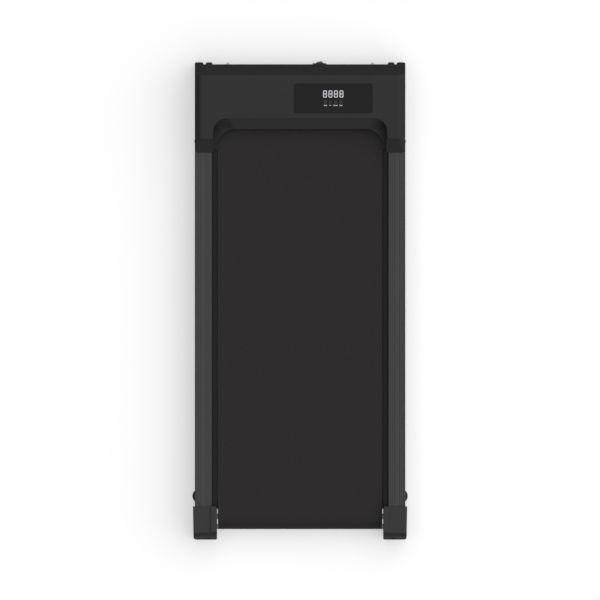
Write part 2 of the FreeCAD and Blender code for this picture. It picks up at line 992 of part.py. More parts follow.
def motor_bolt(x, y):
    head = rod_z(motor_bolt_head_radius, x, y, (tray_height - motor_bolt_head_height, tray_height))
    shank = rod_z(motor_bolt_radius, x, y, (tray_height, motor_bolt_top()))
    return fuse_all([head, shank])


# Control electronics

def standoff_spots():
    xs = (board_left + standoff_inset, board_left + board_length - standoff_inset)
    ys = (board_rear + standoff_inset, board_rear + board_depth - standoff_inset)
    return [(x, y) for x in xs for y in ys]


def control_board():
    x = (board_left, board_left + board_length)
    y = (board_rear, board_rear + board_depth)
    return box(x, y, (board_bottom, board_top))


def board_standoff(x, y):
    return rod_z(standoff_radius, x, y, (tray_top, board_bottom))


def heat_sink():
    start = board_left + sink_inset
    depth = (board_rear + sink_margin, board_rear + board_depth - sink_margin)
    base = box((start, start + sink_length), depth, (board_top, board_top + sink_base))
    pitch = (sink_length - sink_fin) / (sink_fin_count - 1)
    fins = []
    for i in range(sink_fin_count):
        x = start + pitch * i
        fins.append(box((x, x + sink_fin), depth, (board_top + sink_base, board_top + sink_height)))
    return fuse_all([base] + fins)


def board_components():
    middle = board_rear + board_depth / 2
    pieces = []
    for i in range(capacitor_count):
        x = board_left + capacitor_place + capacitor_pitch * i - capacitor_radius
        pieces.append(rod_z(capacitor_radius, x, middle, (board_top, board_top + capacitor_height)))
    right = board_left + board_length
    ring = rod_z(choke_radius, right - choke_place, middle, (board_top, board_top + choke_height))
    bore = rod_z(choke_bore, right - choke_place, middle, (board_top - past, board_top + choke_height + past))
    pieces.append(ring.cut(bore))
    return Part.makeCompound(pieces)


# Display

def display_board():
    x = around(lens_center, display_board_width)
    y = around(lens_middle, display_board_length)
    plate = box(x, y, (display_board_top - board_thickness, display_board_top))
    block = box(
        around(lens_center, led_block_width),
        around(lens_middle + led_block_shift, led_block_length),
        (display_board_top, lens_bottom - part_gap),
    )
    return fuse_all([plate, block])


def lens_outline(grow):
    return rectangle(around(lens_center, lens_width + 2 * grow), around(lens_middle, lens_length + 2 * grow))


def display_lens():
    return extrude_z(lens_outline(0.0), (lens_bottom, hood_height), lens_round)


def display_posts():
    xs = around(lens_center, display_board_width - 2 * display_post_inset)
    ys = around(lens_middle, display_board_length - 2 * display_post_inset)
    height = (display_board_top, hood_ceiling + past)
    return [rod_z(display_post_radius, x, y, height) for x in xs for y in ys]


# Motor hood

def bent_wall(reach, run, drop, inset):
    """The two bends of a wall that stands up to a shoulder and then leans in to the top."""
    lean = math.atan2(run, drop)
    low = (reach - inset, hood_height - drop - inset * math.tan(lean / 2))
    high = (reach - run - inset * math.tan((math.pi / 2 - lean) / 2), hood_height - inset)
    return low, high


def hood_block(inset, base, rear):
    """The hood's outside, or its hollow when inset by the wall."""
    low, high = bent_wall(hood_front, hood_front_run, hood_front_drop, inset)
    lengthwise = extrude_x(
        [(rear, base), (rear, high[1]), high, low, (low[0], base)],
        (-half_width, half_width),
        [0, 0, hood_front_round, hood_shoulder_round, 0],
    )
    low, high = bent_wall(half_width, hood_side_run, hood_side_drop, inset)
    right = [(low[0], base), low, high]
    left = [(-x, z) for x, z in reversed(right)]
    crosswise = extrude_y(
        right + left,
        (rear, hood_front),
        [0, hood_shoulder_round, hood_side_round, hood_side_round, hood_shoulder_round, 0],
    )
    plan = extrude_z(
        rectangle((-half_width + inset, half_width - inset), (rear, hood_front - inset)),
        (base, hood_height),
        [0, 0, hood_corner_round - inset, hood_corner_round - inset],
    )
    return lengthwise.common(crosswise).common(plan)


def scoop_well(inset, half, bend, grow):
    """An upright well in the hood's top, with two round corners, open to the rear."""
    outline = rectangle((-half - grow, half + grow), (hood_rear - scoop_overrun, hood_front - inset + grow))
    return extrude_z(outline, (scoop_foot, hood_height + hood_wall), [0, 0, bend + grow, bend + grow])


def under_plane(corners, sink):
    """All that lies under the plane through three points, lowered by sink."""
    first, second, third = corners
    along = (second - first).normalize()
    up = along.cross(third - first).normalize()
    if up.z < 0:
        up = -up
    across = up.cross(along)
    middle = first - up * sink
    turns = ((1, 1), (-1, 1), (-1, -1), (1, -1))
    outline = [middle + (along * a + across * b) * frame_width for a, b in turns]
    return Part.Face(Part.makePolygon(outline + outline[:1])).extrude(-up * frame_width)


def visor(sink):
    """What lies under the slope over the belt: its two ends fall away towards the hood's arms."""
    top = hood_height - scoop_step
    top_edge = hood_front - scoop_top_inset
    lip_edge = hood_front - scoop_lip_inset
    top_crease = half_width - scoop_crease_top
    lip_crease = half_width - scoop_crease_lip
    slope = [
        point(-top_crease, top_edge, top),
        point(top_crease, top_edge, top),
        point(lip_crease, lip_edge, scoop_lip_height),
    ]
    end = [
        point(top_crease, top_edge, top),
        point(lip_crease, lip_edge, scoop_lip_height),
        point(scoop_top_half, top_edge - scoop_top_round, scoop_crease_foot),
    ]
    right = under_plane(end, sink)
    solid = under_plane(slope, sink).common(right).common(mirrored(right))
    return solid.cut(scoop_well(scoop_lip_inset, scoop_lip_half, scoop_lip_round, 0.0))


def scoop(grow):
    return scoop_well(scoop_top_inset, scoop_top_half, scoop_top_round, grow).cut(visor(grow))


def hood_outside():
    block = hood_block(0.0, hood_base, hood_rear).cut(scoop(0.0))
    rim = []
    for edge in block.Edges:
        box_of = edge.BoundBox
        flat = box_of.ZMin > hood_height - slack and box_of.ZMax < hood_height + slack
        in_scoop = box_of.XMin > -scoop_top_half - past and box_of.XMax < scoop_top_half + past
        behind = box_of.YMax < hood_front - scoop_top_inset + past and box_of.YMax > hood_rear + past
        if flat and in_scoop and behind:
            rim.append(edge)
    return block.makeFillet(scoop_edge_round, rim)


def ear():
    """A pad beside the transport wheel that the hood stands on when it is tipped up."""
    x = (half_width - ear_width, half_width)
    y = (hood_front - hood_corner_round - ear_reach, ear_front)
    outline = rectangle(x, y)
    return extrude_z(outline, (hood_base, ear_top), [0, 0, ear_round, ear_round])


def eyelet(side):
    x = side * eyelet_place
    return rod_z(eyelet_radius, x, hood_front, (hood_base, hood_base + eyelet_height))


def eyelet_hole(side):
    x = side * eyelet_place
    return rod_z(eyelet_hole_radius, x, hood_front + eyelet_shift, (hood_base - past, hood_height))


def hood_boss():
    height = (hood_base, hood_base + hood_boss_height)
    post = rod_z(hood_boss_radius, hood_boss_place, hood_boss_line(), height)
    rib = box(around(hood_boss_place, hood_boss_radius), (hood_boss_line(), hood_front - hood_wall), height)
    return fuse_all([post, rib])


def hood_boss_line():
    return hood_front - hood_wall - hood_boss_radius


def hood_screw_place():
    return hood_rear - hood_tab_length / 2


def hood_tab():
    """A tongue on each arm that is screwed to the top of the side frame, under the collar."""
    x = (tube_middle - hood_tab_width / 2, half_width - hood_wall / 2)
    height = (tube_top, tube_top + hood_tab_thickness)
    inside = box(x, (hood_rear, hood_rear + hood_tab_length), height)
    tongue = box(
        (x[0], tube_outer - tube_wall),
        (hood_rear - hood_tab_length, hood_rear),
        height,
    )
    through = (tube_top - past, tube_top + hood_tab_thickness + past)
    hole = rod_z(screw_radius + fit_gap, tube_middle, hood_screw_place(), through)
    return fuse_all([inside, tongue]).cut(hole)


def wheel_slot(y, z):
    return box((bracket_inner - wheel_slot_gap / 2, bracket_outer + wheel_slot_gap / 2), y, z)


def motor_hood():
    outside = hood_outside().fuse([ear(), mirrored(ear()), eyelet(-1), eyelet(1)])
    shell = outside.cut(hood_block(hood_wall, hood_base - past, hood_rear - past).cut(scoop(hood_wall)))
    tops = [hood_boss(), mirrored(hood_boss()), hood_tab(), mirrored(hood_tab())] + display_posts()
    shell = shell.fuse(tops)
    wheel_y = (hood_front - hood_wall - past, ear_front + past)
    wheel_x = (wheel_inner - wheel_cheek_gap, wheel_outer + wheel_cheek_gap)
    slot = box(wheel_x, wheel_y, (hood_base - past, wheel_height + wheel_radius + wheel_slot_gap))
    pilot_reach = (hood_base - past, hood_base + hood_boss_height - past)
    pilot = rod_z(screw_radius + fit_gap, hood_boss_place, hood_boss_line(), pilot_reach)
    front_wall = (hood_front - hood_wall - past, hood_front + past)
    cuts = [
        slot,
        mirrored(slot),
        pilot,
        mirrored(pilot),
        eyelet_hole(-1),
        eyelet_hole(1),
        extrude_z(lens_outline(part_gap), (lens_bottom, hood_height + past), lens_round),
        box(
            around(lens_center, window_width),
            around(lens_middle, window_length),
            (hood_ceiling - past, hood_height),
        ),
        box(
            around(switch_place, switch_body_width + 2 * part_gap),
            front_wall,
            around(switch_height, switch_body_tall + 2 * part_gap),
        ),
        box(
            around(inlet_place, inlet_body_width + 2 * part_gap),
            front_wall,
            around(inlet_height, inlet_body_tall + 2 * part_gap),
        ),
        box(
            around(inlet_place, inlet_flange_width + 2 * part_gap),
            (hood_front - inlet_flange_thickness, hood_front + past),
            around(inlet_height, inlet_flange_tall + 2 * part_gap),
        ),
    ]
    return shell.cut(cuts).removeSplitter()


def hood_screw():
    top = tube_top + hood_tab_thickness
    head = rod_z(screw_head_radius, tube_middle, hood_screw_place(), (top, top + screw_head_height))
    shank = rod_z(screw_radius, tube_middle, hood_screw_place(), (top - screw_bite, top))
    return fuse_all([head, shank])


# Belly pan

def pan_frame_screws():
    return [hood_rear + pan_screw_rear_inset, hood_front - pan_screw_front_inset]


def pan_screw_spots():
    spots = [(tube_middle, y) for y in pan_frame_screws()]
    return spots + [(hood_boss_place, hood_boss_line())]


def pan_boss(y):
    return rod_z(pan_boss_radius, tube_middle, y, (hood_base, foot_height))


def pan_vents():
    start = motor_axle - vent_length / 2
    middle = (can_left + can_right) / 2
    first = middle - vent_pitch * (vent_count - 1) / 2
    vents = []
    for i in range(vent_count):
        outline = rectangle(around(first + vent_pitch * i, vent_width), (start, start + vent_length))
        vents.append(extrude_z(outline, (pan_bottom - past, hood_base + past), vent_width / 2 - slack))
    return vents


def belly_pan():
    outline = rectangle((-half_width, half_width), (hood_rear, hood_front))
    corners = [0, 0, hood_corner_round, hood_corner_round]
    plate = extrude_z(outline, (pan_bottom, hood_base), corners)
    low_edges = []
    for edge in plate.Edges:
        if edge.BoundBox.ZMax < pan_bottom + slack and edge.BoundBox.YMax > hood_rear + past:
            low_edges.append(edge)
    plate = plate.makeFillet(pan_edge_round, low_edges)
    grow = hood_wall + part_gap
    lip_outline = rectangle((-half_width + grow, half_width - grow), (hood_rear, hood_front - grow))
    round_out = hood_corner_round - grow
    lip = extrude_z(lip_outline, (hood_base, hood_base + pan_lip_height), [0, 0, round_out, round_out])
    inner = grow + pan_lip_wall
    core_width = (-half_width + inner, half_width - inner)
    core_outline = rectangle(core_width, (hood_rear - past, hood_front - inner))
    round_in = hood_corner_round - inner
    core_height = (hood_base - past, hood_base + pan_lip_height + past)
    core = extrude_z(core_outline, core_height, [0, 0, round_in, round_in])
    upward = (hood_base, hood_height)
    boss_room = rod_z(hood_boss_radius + part_gap, hood_boss_place, hood_boss_line(), upward)
    rib_room = box(around(hood_boss_place, 2 * hood_boss_radius), (hood_boss_line(), hood_front), upward)
    boss_room = boss_room.fuse(rib_room)
    lip = lip.cut(core).cut([boss_room, mirrored(boss_room)])
    bosses = [pan_boss(y) for y in pan_frame_screws()]
    pan = plate.fuse([lip] + bosses + [mirrored(boss) for boss in bosses])
    through = (pan_bottom - past, hood_height)
    slot = wheel_slot((tube_front - wheel_slot_gap, ear_front), through)
    foot_hole = rod_z(front_foot_radius + pan_foot_gap, tube_middle, front_foot, through)
    cuts = [slot, mirrored(slot), foot_hole, mirrored(foot_hole)] + pan_vents()
    for x, y in pan_screw_spots():
        for side in (-1, 1):
            cuts.append(rod_z(screw_radius + fit_gap, side * x, y, (pan_bottom - past, foot_height + past)))
    return pan.cut(cuts).removeSplitter()


def pan_screw(x, y):
    head = rod_z(screw_head_radius, x, y, (pan_bottom - screw_head_height, pan_bottom))
    shank = rod_z(screw_radius, x, y, (pan_bottom, foot_height + screw_bite))
    return fuse_all([head, shank])


# Collars

def collar_section(y, base, inset):
    """The collar's outline at its two ends: the hood's arm in front, the rail's tread behind."""
    low, high = bent_wall(half_width, hood_side_run, hood_side_drop, inset)
    if y > collar_rear + collar_length / 2:
        upper = [(high[0], hood_height - inset), low]
        radii = [hood_side_round, hood_shoulder_round]
    else:
        crest = tread_height + collar_tail_height - inset
        side = half_width - inset
        upper = [(side - collar_tail_bevel, crest), (side, crest - collar_tail_bevel)]
        radii = [collar_tail_round, collar_tail_round]
    outline = [(collar_inner + inset, base), (collar_inner + inset, upper[0][1])]
    outline += upper
    outline += [(half_width - inset, base)]
    corners = [point(x, y, z) for x, z in outline]
    return rounded_wire(corners, [0, 0] + radii + [0])


def collar_loft(inset, drop):
    front = collar_section(collar_front, hood_base - drop, inset)
    rear = collar_section(collar_rear, rail_skirt_foot - drop, inset)
    return Part.makeLoft([front, rear], True, True)


def collar_leg(x):
    top = tread_height + collar_tail_height - collar_wall / 2
    return box((x, x + collar_leg_width), (collar_rear, hood_rear - hood_tab_length - past), (tube_top, top))


def collar_screw_place():
    return collar_front - collar_screw_inset


def collar_screw_height():
    return foot_height + tube_height / 2


def collar_boss():
    reach = (tube_outer, half_width - collar_wall / 2)
    return rod_x(screw_head_radius, reach, collar_screw_place(), collar_screw_height())


def collar():
    hollow = collar_loft(collar_wall, hood_base)
    shell = collar_loft(0.0, 0.0).cut(hollow)
    leg_places = (tube_inner + rail_leg_inset, tube_outer - rail_leg_inset - collar_leg_width)
    legs = [collar_leg(x).common(collar_loft(collar_wall / 2, 0.0)) for x in leg_places]
    below_deck = box(
        (collar_inner - past, tube_inner),
        (collar_rear - past, collar_front + past),
        (0, deck_top + collar_deck_gap),
    )
    shell = shell.cut(below_deck).fuse(legs + [collar_boss()])
    through = (tube_outer - past, half_width + past)
    hole = rod_x(screw_radius + fit_gap, through, collar_screw_place(), collar_screw_height())
    return shell.cut(hole).removeSplitter()


def collar_screw():
    y = collar_screw_place()
    z = collar_screw_height()
    head = rod_x(screw_head_radius, (half_width, half_width + screw_head_height / 2), y, z)
    shank = rod_x(screw_radius, (tube_outer - screw_bite, half_width), y, z)
    return fuse_all([head, shank])


# Side rails

def groove_lines():
    outer = [half_width - groove_margin - groove_pitch * i for i in range(groove_count)]
    inner = [tread_inner + groove_margin + groove_pitch * i for i in range(groove_count)]
    return outer + inner


def groove(x):
    outline = [
        (x - groove_width / 2, tread_height),
        (x - groove_width / 2, tread_height + past),
        (x + groove_width / 2, tread_height + past),
        (x + groove_width / 2, tread_height),
        (x, tread_height - groove_depth),
    ]
    return extrude_y(outline, (rail_rear - past, rail_front + past))


def rail_leg(x):
    return box((x, x + rail_wall), (rail_rear, rail_front), (tube_top, tread_height - rail_wall))


def side_rail():
    """A hat-shaped extrusion: outer skirt, grooved tread, short inner wall and flange beside the belt."""
    outline = [
        (tread_inner, flange_bottom),
        (tread_inner, tread_height),
        (half_width, tread_height),
        (half_width, rail_skirt_foot),
        (half_width - rail_wall, rail_skirt_foot),
        (half_width - rail_wall, tread_height - rail_wall),
        (tread_inner + rail_wall, tread_height - rail_wall),
        (tread_inner + rail_wall, flange_bottom),
    ]
    radii = [0, rail_edge_round / 2, rail_edge_round, 0, 0, 0, 0, 0]
    skin = extrude_y(outline, (rail_rear, rail_front), radii)
    flange = extrude_y(
        rectangle((flange_inner, tread_inner), (flange_bottom, flange_top)),
        (cap_front + cover_gap, rail_front),
        [0, 0, 0, rail_wall / 2],
    )
    tongue = extrude_y(
        rectangle((flange_inner, flange_inner + tongue_width), (flange_bottom, flange_top)),
        (rail_front, rail_front + flange_tongue),
        [0, 0, 0, rail_wall / 2],
    )
    legs = [rail_leg(tube_inner + rail_leg_inset), rail_leg(tube_outer - rail_leg_inset - rail_wall)]
    rail = skin.fuse([flange, tongue] + legs)
    grooves = [groove(x) for x in groove_lines()]
    return rail.cut(grooves).removeSplitter()


# Rear end caps

def cap_block(inset, front):
    """The cap's outside, or its hollow when inset: a stepped top, a rear slope and a tapered side."""
    step = cap_inner + cheek_width
    cheek_top = cap_top + cheek_rise
    nose = 0.0 if inset else cap_nose_round
    crosswise = extrude_y(
        [
            (cap_inner + inset, cap_base - 2 * inset),
            (cap_inner + inset, cheek_top - inset),
            (step - inset, cheek_top - inset),
            (step - inset, cap_top - inset),
            (cap_outer - inset, cap_top - inset),
            (cap_outer - inset, cap_base - 2 * inset),
        ],
        (cap_rear, front),
        [0, cap_edge_round / 2, cap_edge_round / 2, 0, cap_edge_round, 0],
    )
    slope_top = cap_rear + cap_slope_start
    slope_foot = slope_top - cap_slope_run
    rise = 2 * cheek_rise
    lengthwise = extrude_x(
        [
            (front, cap_base - 2 * inset),
            (front, cap_top + rise - inset),
            (slope_top + rise * cap_slope_run / cap_slope_drop + inset, cap_top + rise - inset),
            (slope_foot + inset, cap_top - cap_slope_drop - inset),
            (cap_rear + inset, cap_top - cap_slope_drop - cap_lip_fall - inset),
            (cap_rear + inset, cap_base - 2 * inset),
        ],
        (cap_inner, cap_outer),
        [0, 0, 0, cap_edge_round / 2, cap_edge_round, 0],
    )
    plan = extrude_z(
        [
            (cap_inner + inset, front),
            (cap_outer - inset, front),
            (cap_outer - cap_taper - inset, cap_rear + inset),
            (cap_inner + inset, cap_rear + inset),
        ],
        (cap_base - 2 * inset, cap_top + rise),
        [nose, 0, cap_corner_round - inset, cap_edge_round - inset / 2],
    )
    return crosswise.common(lengthwise).common(plan)


def cap_screw_place():
    return cap_rear + cap_tab_inset + cap_tab_length / 2


def end_cap():
    shell = cap_block(0.0, cap_front).cut(cap_block(cap_wall, cap_front + past))
    tab = box(
        (tube_middle - cap_tab_length / 2, cap_outer - cap_taper - cap_wall / 2),
        around(cap_screw_place(), cap_tab_length),
        (foot_height - cap_tab_thickness, foot_height),
    )
    shell = shell.fuse(tab)
    notch_top = cap_top - cap_slope_drop
    rear_wall = (cap_rear - past, cap_rear + cap_wall + past)
    cuts = [
        rear_shaft_slot(shaft_radius + cap_shaft_gap, (cap_inner - past, cap_inner + cap_wall + past)),
        rod_y(bolt_head_radius + cap_key_gap, bolt_place, rear_wall, axle_height),
        box(
            around(bolt_place, cap_notch_width),
            (cap_rear - past, cap_rear + cap_notch_depth),
            (notch_top - cap_notch_drop, notch_top + past),
        ),
        rod_z(screw_radius + fit_gap, tube_middle, cap_screw_place(), (cap_base, foot_height + past)),
    ]
    return shell.cut(cuts).removeSplitter()


def end_cap_screw():
    bottom = foot_height - cap_tab_thickness
    head = rod_z(screw_head_radius, tube_middle, cap_screw_place(), (bottom - screw_head_height, bottom))
    shank = rod_z(screw_radius, tube_middle, cap_screw_place(), (bottom, foot_height + screw_bite))
    return fuse_all([head, shank])


# Feet

def foot(radius, x, y):
    bore = foot_screw_radius + fit_gap
    outline = [
        (foot_recess_radius, 0),
        (radius - foot_edge, 0),
        (radius, foot_edge),
        (radius, foot_band),
        (radius - foot_taper, foot_height),
        (bore, foot_height),
        (bore, foot_recess_depth),
        (foot_recess_radius, foot_recess_depth),
    ]
    return turn_z(outline, x, y)


def foot_screw(x, y):
    head_bottom = foot_recess_depth - foot_screw_head_height
    head = rod_z(foot_screw_head_radius, x, y, (head_bottom, foot_recess_depth))
    shank = rod_z(foot_screw_radius, x, y, (foot_recess_depth, foot_height + screw_bite))
    return fuse_all([head, shank])


def foot_spots():
    rights = [(rear_foot_place, rear_foot), (tube_middle, front_foot)]
    return [(side * x, y) for x, y in rights for side in (-1, 1)]


# Transport wheels

def transport_wheel():
    bore = axle_radius + running_gap
    face = wheel_width / 2
    web = wheel_web / 2
    half = [
        (face, bore),
        (face, wheel_hub_radius),
        (web, wheel_hub_radius + wheel_edge_round / 2),
        (web, wheel_radius - wheel_rim - wheel_edge_round / 2),
        (face, wheel_radius - wheel_rim),
        (face, wheel_radius - wheel_edge_round),
        (face - wheel_edge_round, wheel_radius),
    ]
    other = [(-x, radius) for x, radius in reversed(half)]
    outline = [(wheel_center + x, radius) for x, radius in half + other]
    return turn_x(outline, wheel_axle, wheel_height)


def wheel_bracket():
    """A folded sheet on the end of the side frame, with a cheek on each side of the wheel."""
    rear = (tube_front, tube_front + bracket_sheet)
    low = foot_height
    height = (low, low + bracket_height)
    web = box((bracket_inner, bracket_outer), rear, height)
    outline = [
        (rear[0], low),
        (rear[0], low + bracket_height),
        (wheel_axle, wheel_height + bracket_nose),
        (wheel_axle + bracket_nose, wheel_height),
        (wheel_axle + bracket_nose, low),
    ]
    cheeks = [
        extrude_x(outline, (bracket_inner, bracket_inner + bracket_sheet)),
        extrude_x(outline, (bracket_outer - bracket_sheet, bracket_outer)),
    ]
    through = (bracket_inner - past, bracket_outer + past)
    return fuse_all([web] + cheeks).cut(rod_x(axle_radius + fit_gap, through, wheel_axle, wheel_height))


def wheel_axle_bolt():
    outline = [
        (bracket_inner - axle_head_height, 0),
        (bracket_inner - axle_head_height, axle_head_radius),
        (bracket_inner, axle_head_radius),
        (bracket_inner, axle_radius),
        (bracket_outer, axle_radius),
        (bracket_outer, axle_head_radius),
        (bracket_outer + axle_head_height, axle_head_radius),
        (bracket_outer + axle_head_height, 0),
    ]
    return turn_x(outline, wheel_axle, wheel_height)


# Power switch

def switch_housing():
    bezel = extrude_y(
        rectangle(around(switch_place, bezel_width), around(switch_height, bezel_tall)),
        (hood_front, bezel_front),
        switch_round,
    )
    body = box(
        around(switch_place, switch_body_width),
        (hood_front - switch_body_depth, hood_front),
        around(switch_height, switch_body_tall),
    )
    floor = pivot - rocker_heel - rocker_floor_gap
    well = box(
        around(switch_place, 2 * rocker_swing_half),
        (floor, bezel_front + past),
        around(switch_height, rocker_tall + 2 * rocker_side_gap),
    )
    pin_height = around(switch_height, rocker_tall + 2 * rocker_pin_length + 2 * part_gap)
    pin_hole = rod_z(rocker_pin_radius + running_gap, switch_place, pivot, pin_height)
    back = hood_front - switch_body_depth
    blades = []
    for i in (-1, 1):
        blades.append(
            box(
                around(switch_place + i * terminal_pitch / 2, terminal_thickness),
                (back - terminal_length, back),
                around(switch_height, terminal_width),
            )
        )
    return fuse_all([bezel, body]).cut([well, pin_hole]).fuse(blades).removeSplitter()


def power_rocker():
    """A roof-shaped rocker on two pins, leaning to the side it was last pressed away from."""
    shoulder = rocker_arm - rocker_roof
    outline = [
        (switch_place - rocker_half, pivot),
        (switch_place - rocker_half, pivot + shoulder),
        (switch_place, pivot + rocker_arm),
        (switch_place + rocker_half, pivot + shoulder),
        (switch_place + rocker_half, pivot),
        (switch_place + rocker_heel, pivot - rocker_heel),
        (switch_place - rocker_heel, pivot - rocker_heel),
    ]
    height = around(switch_height, rocker_tall)
    body = extrude_z(outline, height)
    pin_height = around(switch_height, rocker_tall + 2 * rocker_pin_length)
    pin = rod_z(rocker_pin_radius, switch_place, pivot, pin_height)
    rocker = fuse_all([body, pin])
    rocker.rotate(point(switch_place, pivot, 0), point(0, 0, 1), -rocker_tilt)
    return rocker


# Power inlet

def inlet_socket_outline():
    half = inlet_socket_width / 2
    low = inlet_height - inlet_socket_tall / 2
    high = inlet_height + inlet_socket_tall / 2
    return [
        (inlet_place - half, low),
        (inlet_place + half, low),
        (inlet_place + half, high - inlet_socket_chamfer),
        (inlet_place + half - inlet_socket_chamfer, high),
        (inlet_place - half + inlet_socket_chamfer, high),
        (inlet_place - half, high - inlet_socket_chamfer),
    ]


def inlet_pin_spots():
    low = inlet_height - pin_rise
    spots = [(inlet_place + side * pin_spread, low) for side in (-1, 1)]
    return spots + [(inlet_place, inlet_height + pin_rise)]


def inlet_pin(x, z, grow):
    bottom = hood_front - inlet_socket_depth
    return box(
        around(x, pin_thickness + 2 * grow),
        (hood_front - inlet_body_depth - pin_tail, bottom + pin_length),
        around(z, pin_width + 2 * grow),
    )


def power_inlet():
    flange = extrude_y(
        rectangle(around(inlet_place, inlet_flange_width), around(inlet_height, inlet_flange_tall)),
        (hood_front - inlet_flange_thickness, hood_front),
        switch_round,
    )
    body = box(
        around(inlet_place, inlet_body_width),
        (hood_front - inlet_body_depth, hood_front - inlet_flange_thickness),
        around(inlet_height, inlet_body_tall),
    )
    socket = extrude_y(inlet_socket_outline(), (hood_front - inlet_socket_depth, hood_front + past))
    pins = [inlet_pin(x, z, fit_gap) for x, z in inlet_pin_spots()]
    return fuse_all([flange, body]).cut([socket] + pins)


# All pieces, by name

def centre_pieces():
    pieces = {
        "motor_tray": motor_tray(),
        "rear_end_plates": both_sides(rear_end_plate()),
        "wheel_axles": both_sides(wheel_axle_bolt()),
        "deck_board": deck_board(),
        "deck_cushions": Part.makeCompound([deck_cushion(x, y) for x, y in deck_screw_spots()]),
        "deck_screws": Part.makeCompound([deck_screw(x, y) for x, y in deck_screw_spots()]),
        "walking_belt": walking_belt(),
        "front_roller_tube": roller_tube(front_axle),
        "front_roller_plugs": roller_plug(front_axle),
        "front_roller_bearings": roller_bearing(front_axle),
        "front_roller_shaft": front_roller_shaft(),
        "front_shaft_screws": both_sides(front_shaft_screw()),
        "rear_roller_tube": roller_tube(rear_axle),
        "rear_roller_plugs": roller_plug(rear_axle),
        "rear_roller_bearings": roller_bearing(rear_axle),
        "rear_roller_shaft": rear_roller_shaft(),
        "roller_pulley": roller_pulley(),
        "motor_pulley": motor_pulley(),
        "drive_belt": drive_belt(),
        "motor_can": motor_can(),
        "motor_end_bells": Part.makeCompound([motor_bell(can_left, -1), motor_bell(can_right, 1)]),
        "motor_rotor": motor_rotor(),
        "motor_saddles": Part.makeCompound([motor_saddle(start) for start in saddle_places()]),
        "motor_bolts": Part.makeCompound([motor_bolt(x, y) for x, y in motor_bolt_spots()]),
        "control_board": control_board(),
        "board_standoffs": Part.makeCompound([board_standoff(x, y) for x, y in standoff_spots()]),
        "heat_sink": heat_sink(),
        "board_components": board_components(),
        "display_board": display_board(),
        "display_lens": display_lens(),
        "motor_hood": motor_hood(),
        "hood_screws": both_sides(hood_screw()),
        "belly_pan": belly_pan(),
        "belly_pan_screws": Part.makeCompound([both_sides(pan_screw(x, y)) for x, y in pan_screw_spots()]),
        "collar_screws": both_sides(collar_screw()),
        "end_cap_screws": both_sides(end_cap_screw()),
        "rear_feet": both_sides(foot(rear_foot_radius, rear_foot_place, rear_foot)),
        "front_feet": both_sides(foot(front_foot_radius, tube_middle, front_foot)),
        "foot_screws": Part.makeCompound([foot_screw(x, y) for x, y in foot_spots()]),
        "switch_housing": switch_housing(),
        "power_rocker": power_rocker(),
        "power_inlet": power_inlet(),
        "inlet_pins": Part.makeCompound([inlet_pin(x, z, 0.0) for x, z in inlet_pin_spots()]),
    }
    for name, y in zip(("rear", "middle", "front"), cross_places()):
        pieces["cross_member_" + name] = cross_member(y)
    return pieces


def paired_pieces():
    rights = {
        "side_frame": side_frame(),
        "side_rail": side_rail(),
        "collar": collar(),
        "end_cap": end_cap(),
        "wheel_bracket": wheel_bracket(),
        "transport_wheel": transport_wheel(),
        "tension_bolt": tension_bolt(),
    }
    pieces = {}
    for name, right in rights.items():
        pieces[name + "_right"] = right
        pieces[name + "_left"] = mirrored(right)
    return pieces


def main():
    os.makedirs("parts", exist_ok=True)
    pieces = centre_pieces()
    pieces.update(paired_pieces())
    for name, shape in pieces.items():
        shape.exportStep("parts/" + name + ".step")


main()
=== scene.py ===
import json
import math

import bmesh
import bpy
from mathutils import Matrix, Vector


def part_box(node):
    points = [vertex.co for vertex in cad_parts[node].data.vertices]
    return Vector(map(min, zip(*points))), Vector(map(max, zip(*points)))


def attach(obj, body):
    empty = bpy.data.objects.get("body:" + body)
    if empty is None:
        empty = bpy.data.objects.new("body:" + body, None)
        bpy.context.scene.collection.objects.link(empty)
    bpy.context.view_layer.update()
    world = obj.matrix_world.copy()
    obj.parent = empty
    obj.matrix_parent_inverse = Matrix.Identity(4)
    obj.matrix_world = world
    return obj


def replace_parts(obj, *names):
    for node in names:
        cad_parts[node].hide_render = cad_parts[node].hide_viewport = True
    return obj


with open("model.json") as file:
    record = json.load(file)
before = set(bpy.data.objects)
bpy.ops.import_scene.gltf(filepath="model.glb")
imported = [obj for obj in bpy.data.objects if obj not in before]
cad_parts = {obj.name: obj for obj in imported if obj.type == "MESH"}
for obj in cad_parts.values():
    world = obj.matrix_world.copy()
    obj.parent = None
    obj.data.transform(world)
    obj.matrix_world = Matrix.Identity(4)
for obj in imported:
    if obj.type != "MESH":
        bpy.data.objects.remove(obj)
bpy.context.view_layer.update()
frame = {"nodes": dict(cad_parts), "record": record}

# Walking pad seen straight from above on a white floor. Metres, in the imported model's frame.

# View
view_width = 1.3878
view_middle = Vector((-0.0002, 0.00065, 0.0))
view_height = 3.0

# Light and floor
floor_half = 12.0
floor_own_light = 0.42
sky_light = 0.10
sky_band = (0.15, 0.50)
key_place = Vector((1.3, 0.15, 3.0))
key_spread = math.radians(110.0)
key_strength = 3.2

# Marks on the lens, placed from its middle
mark_rise = 0.00008
ring_steps = 24
digit_count = 4
digit_pitch = 0.01266
digits_aside = 0.00019
digits_ahead = 0.01025
digit_width = 0.0085
digit_height = 0.0161
digit_stroke = 0.0015
digit_point = 0.000015
digit_gap = 0.0002
icons_behind = 0.00835
icon_radius = 0.0033
icon_stroke = 0.0006
labels_behind = 0.01625
label_words = ("TIME", "CAL", "DISTANCE", "SPEED")
label_places = (-0.0181, -0.0067, 0.0057, 0.0181)
label_widths = (0.0072, 0.0054, 0.0100, 0.0074)
label_height = 0.0024
label_weld = 0.000002

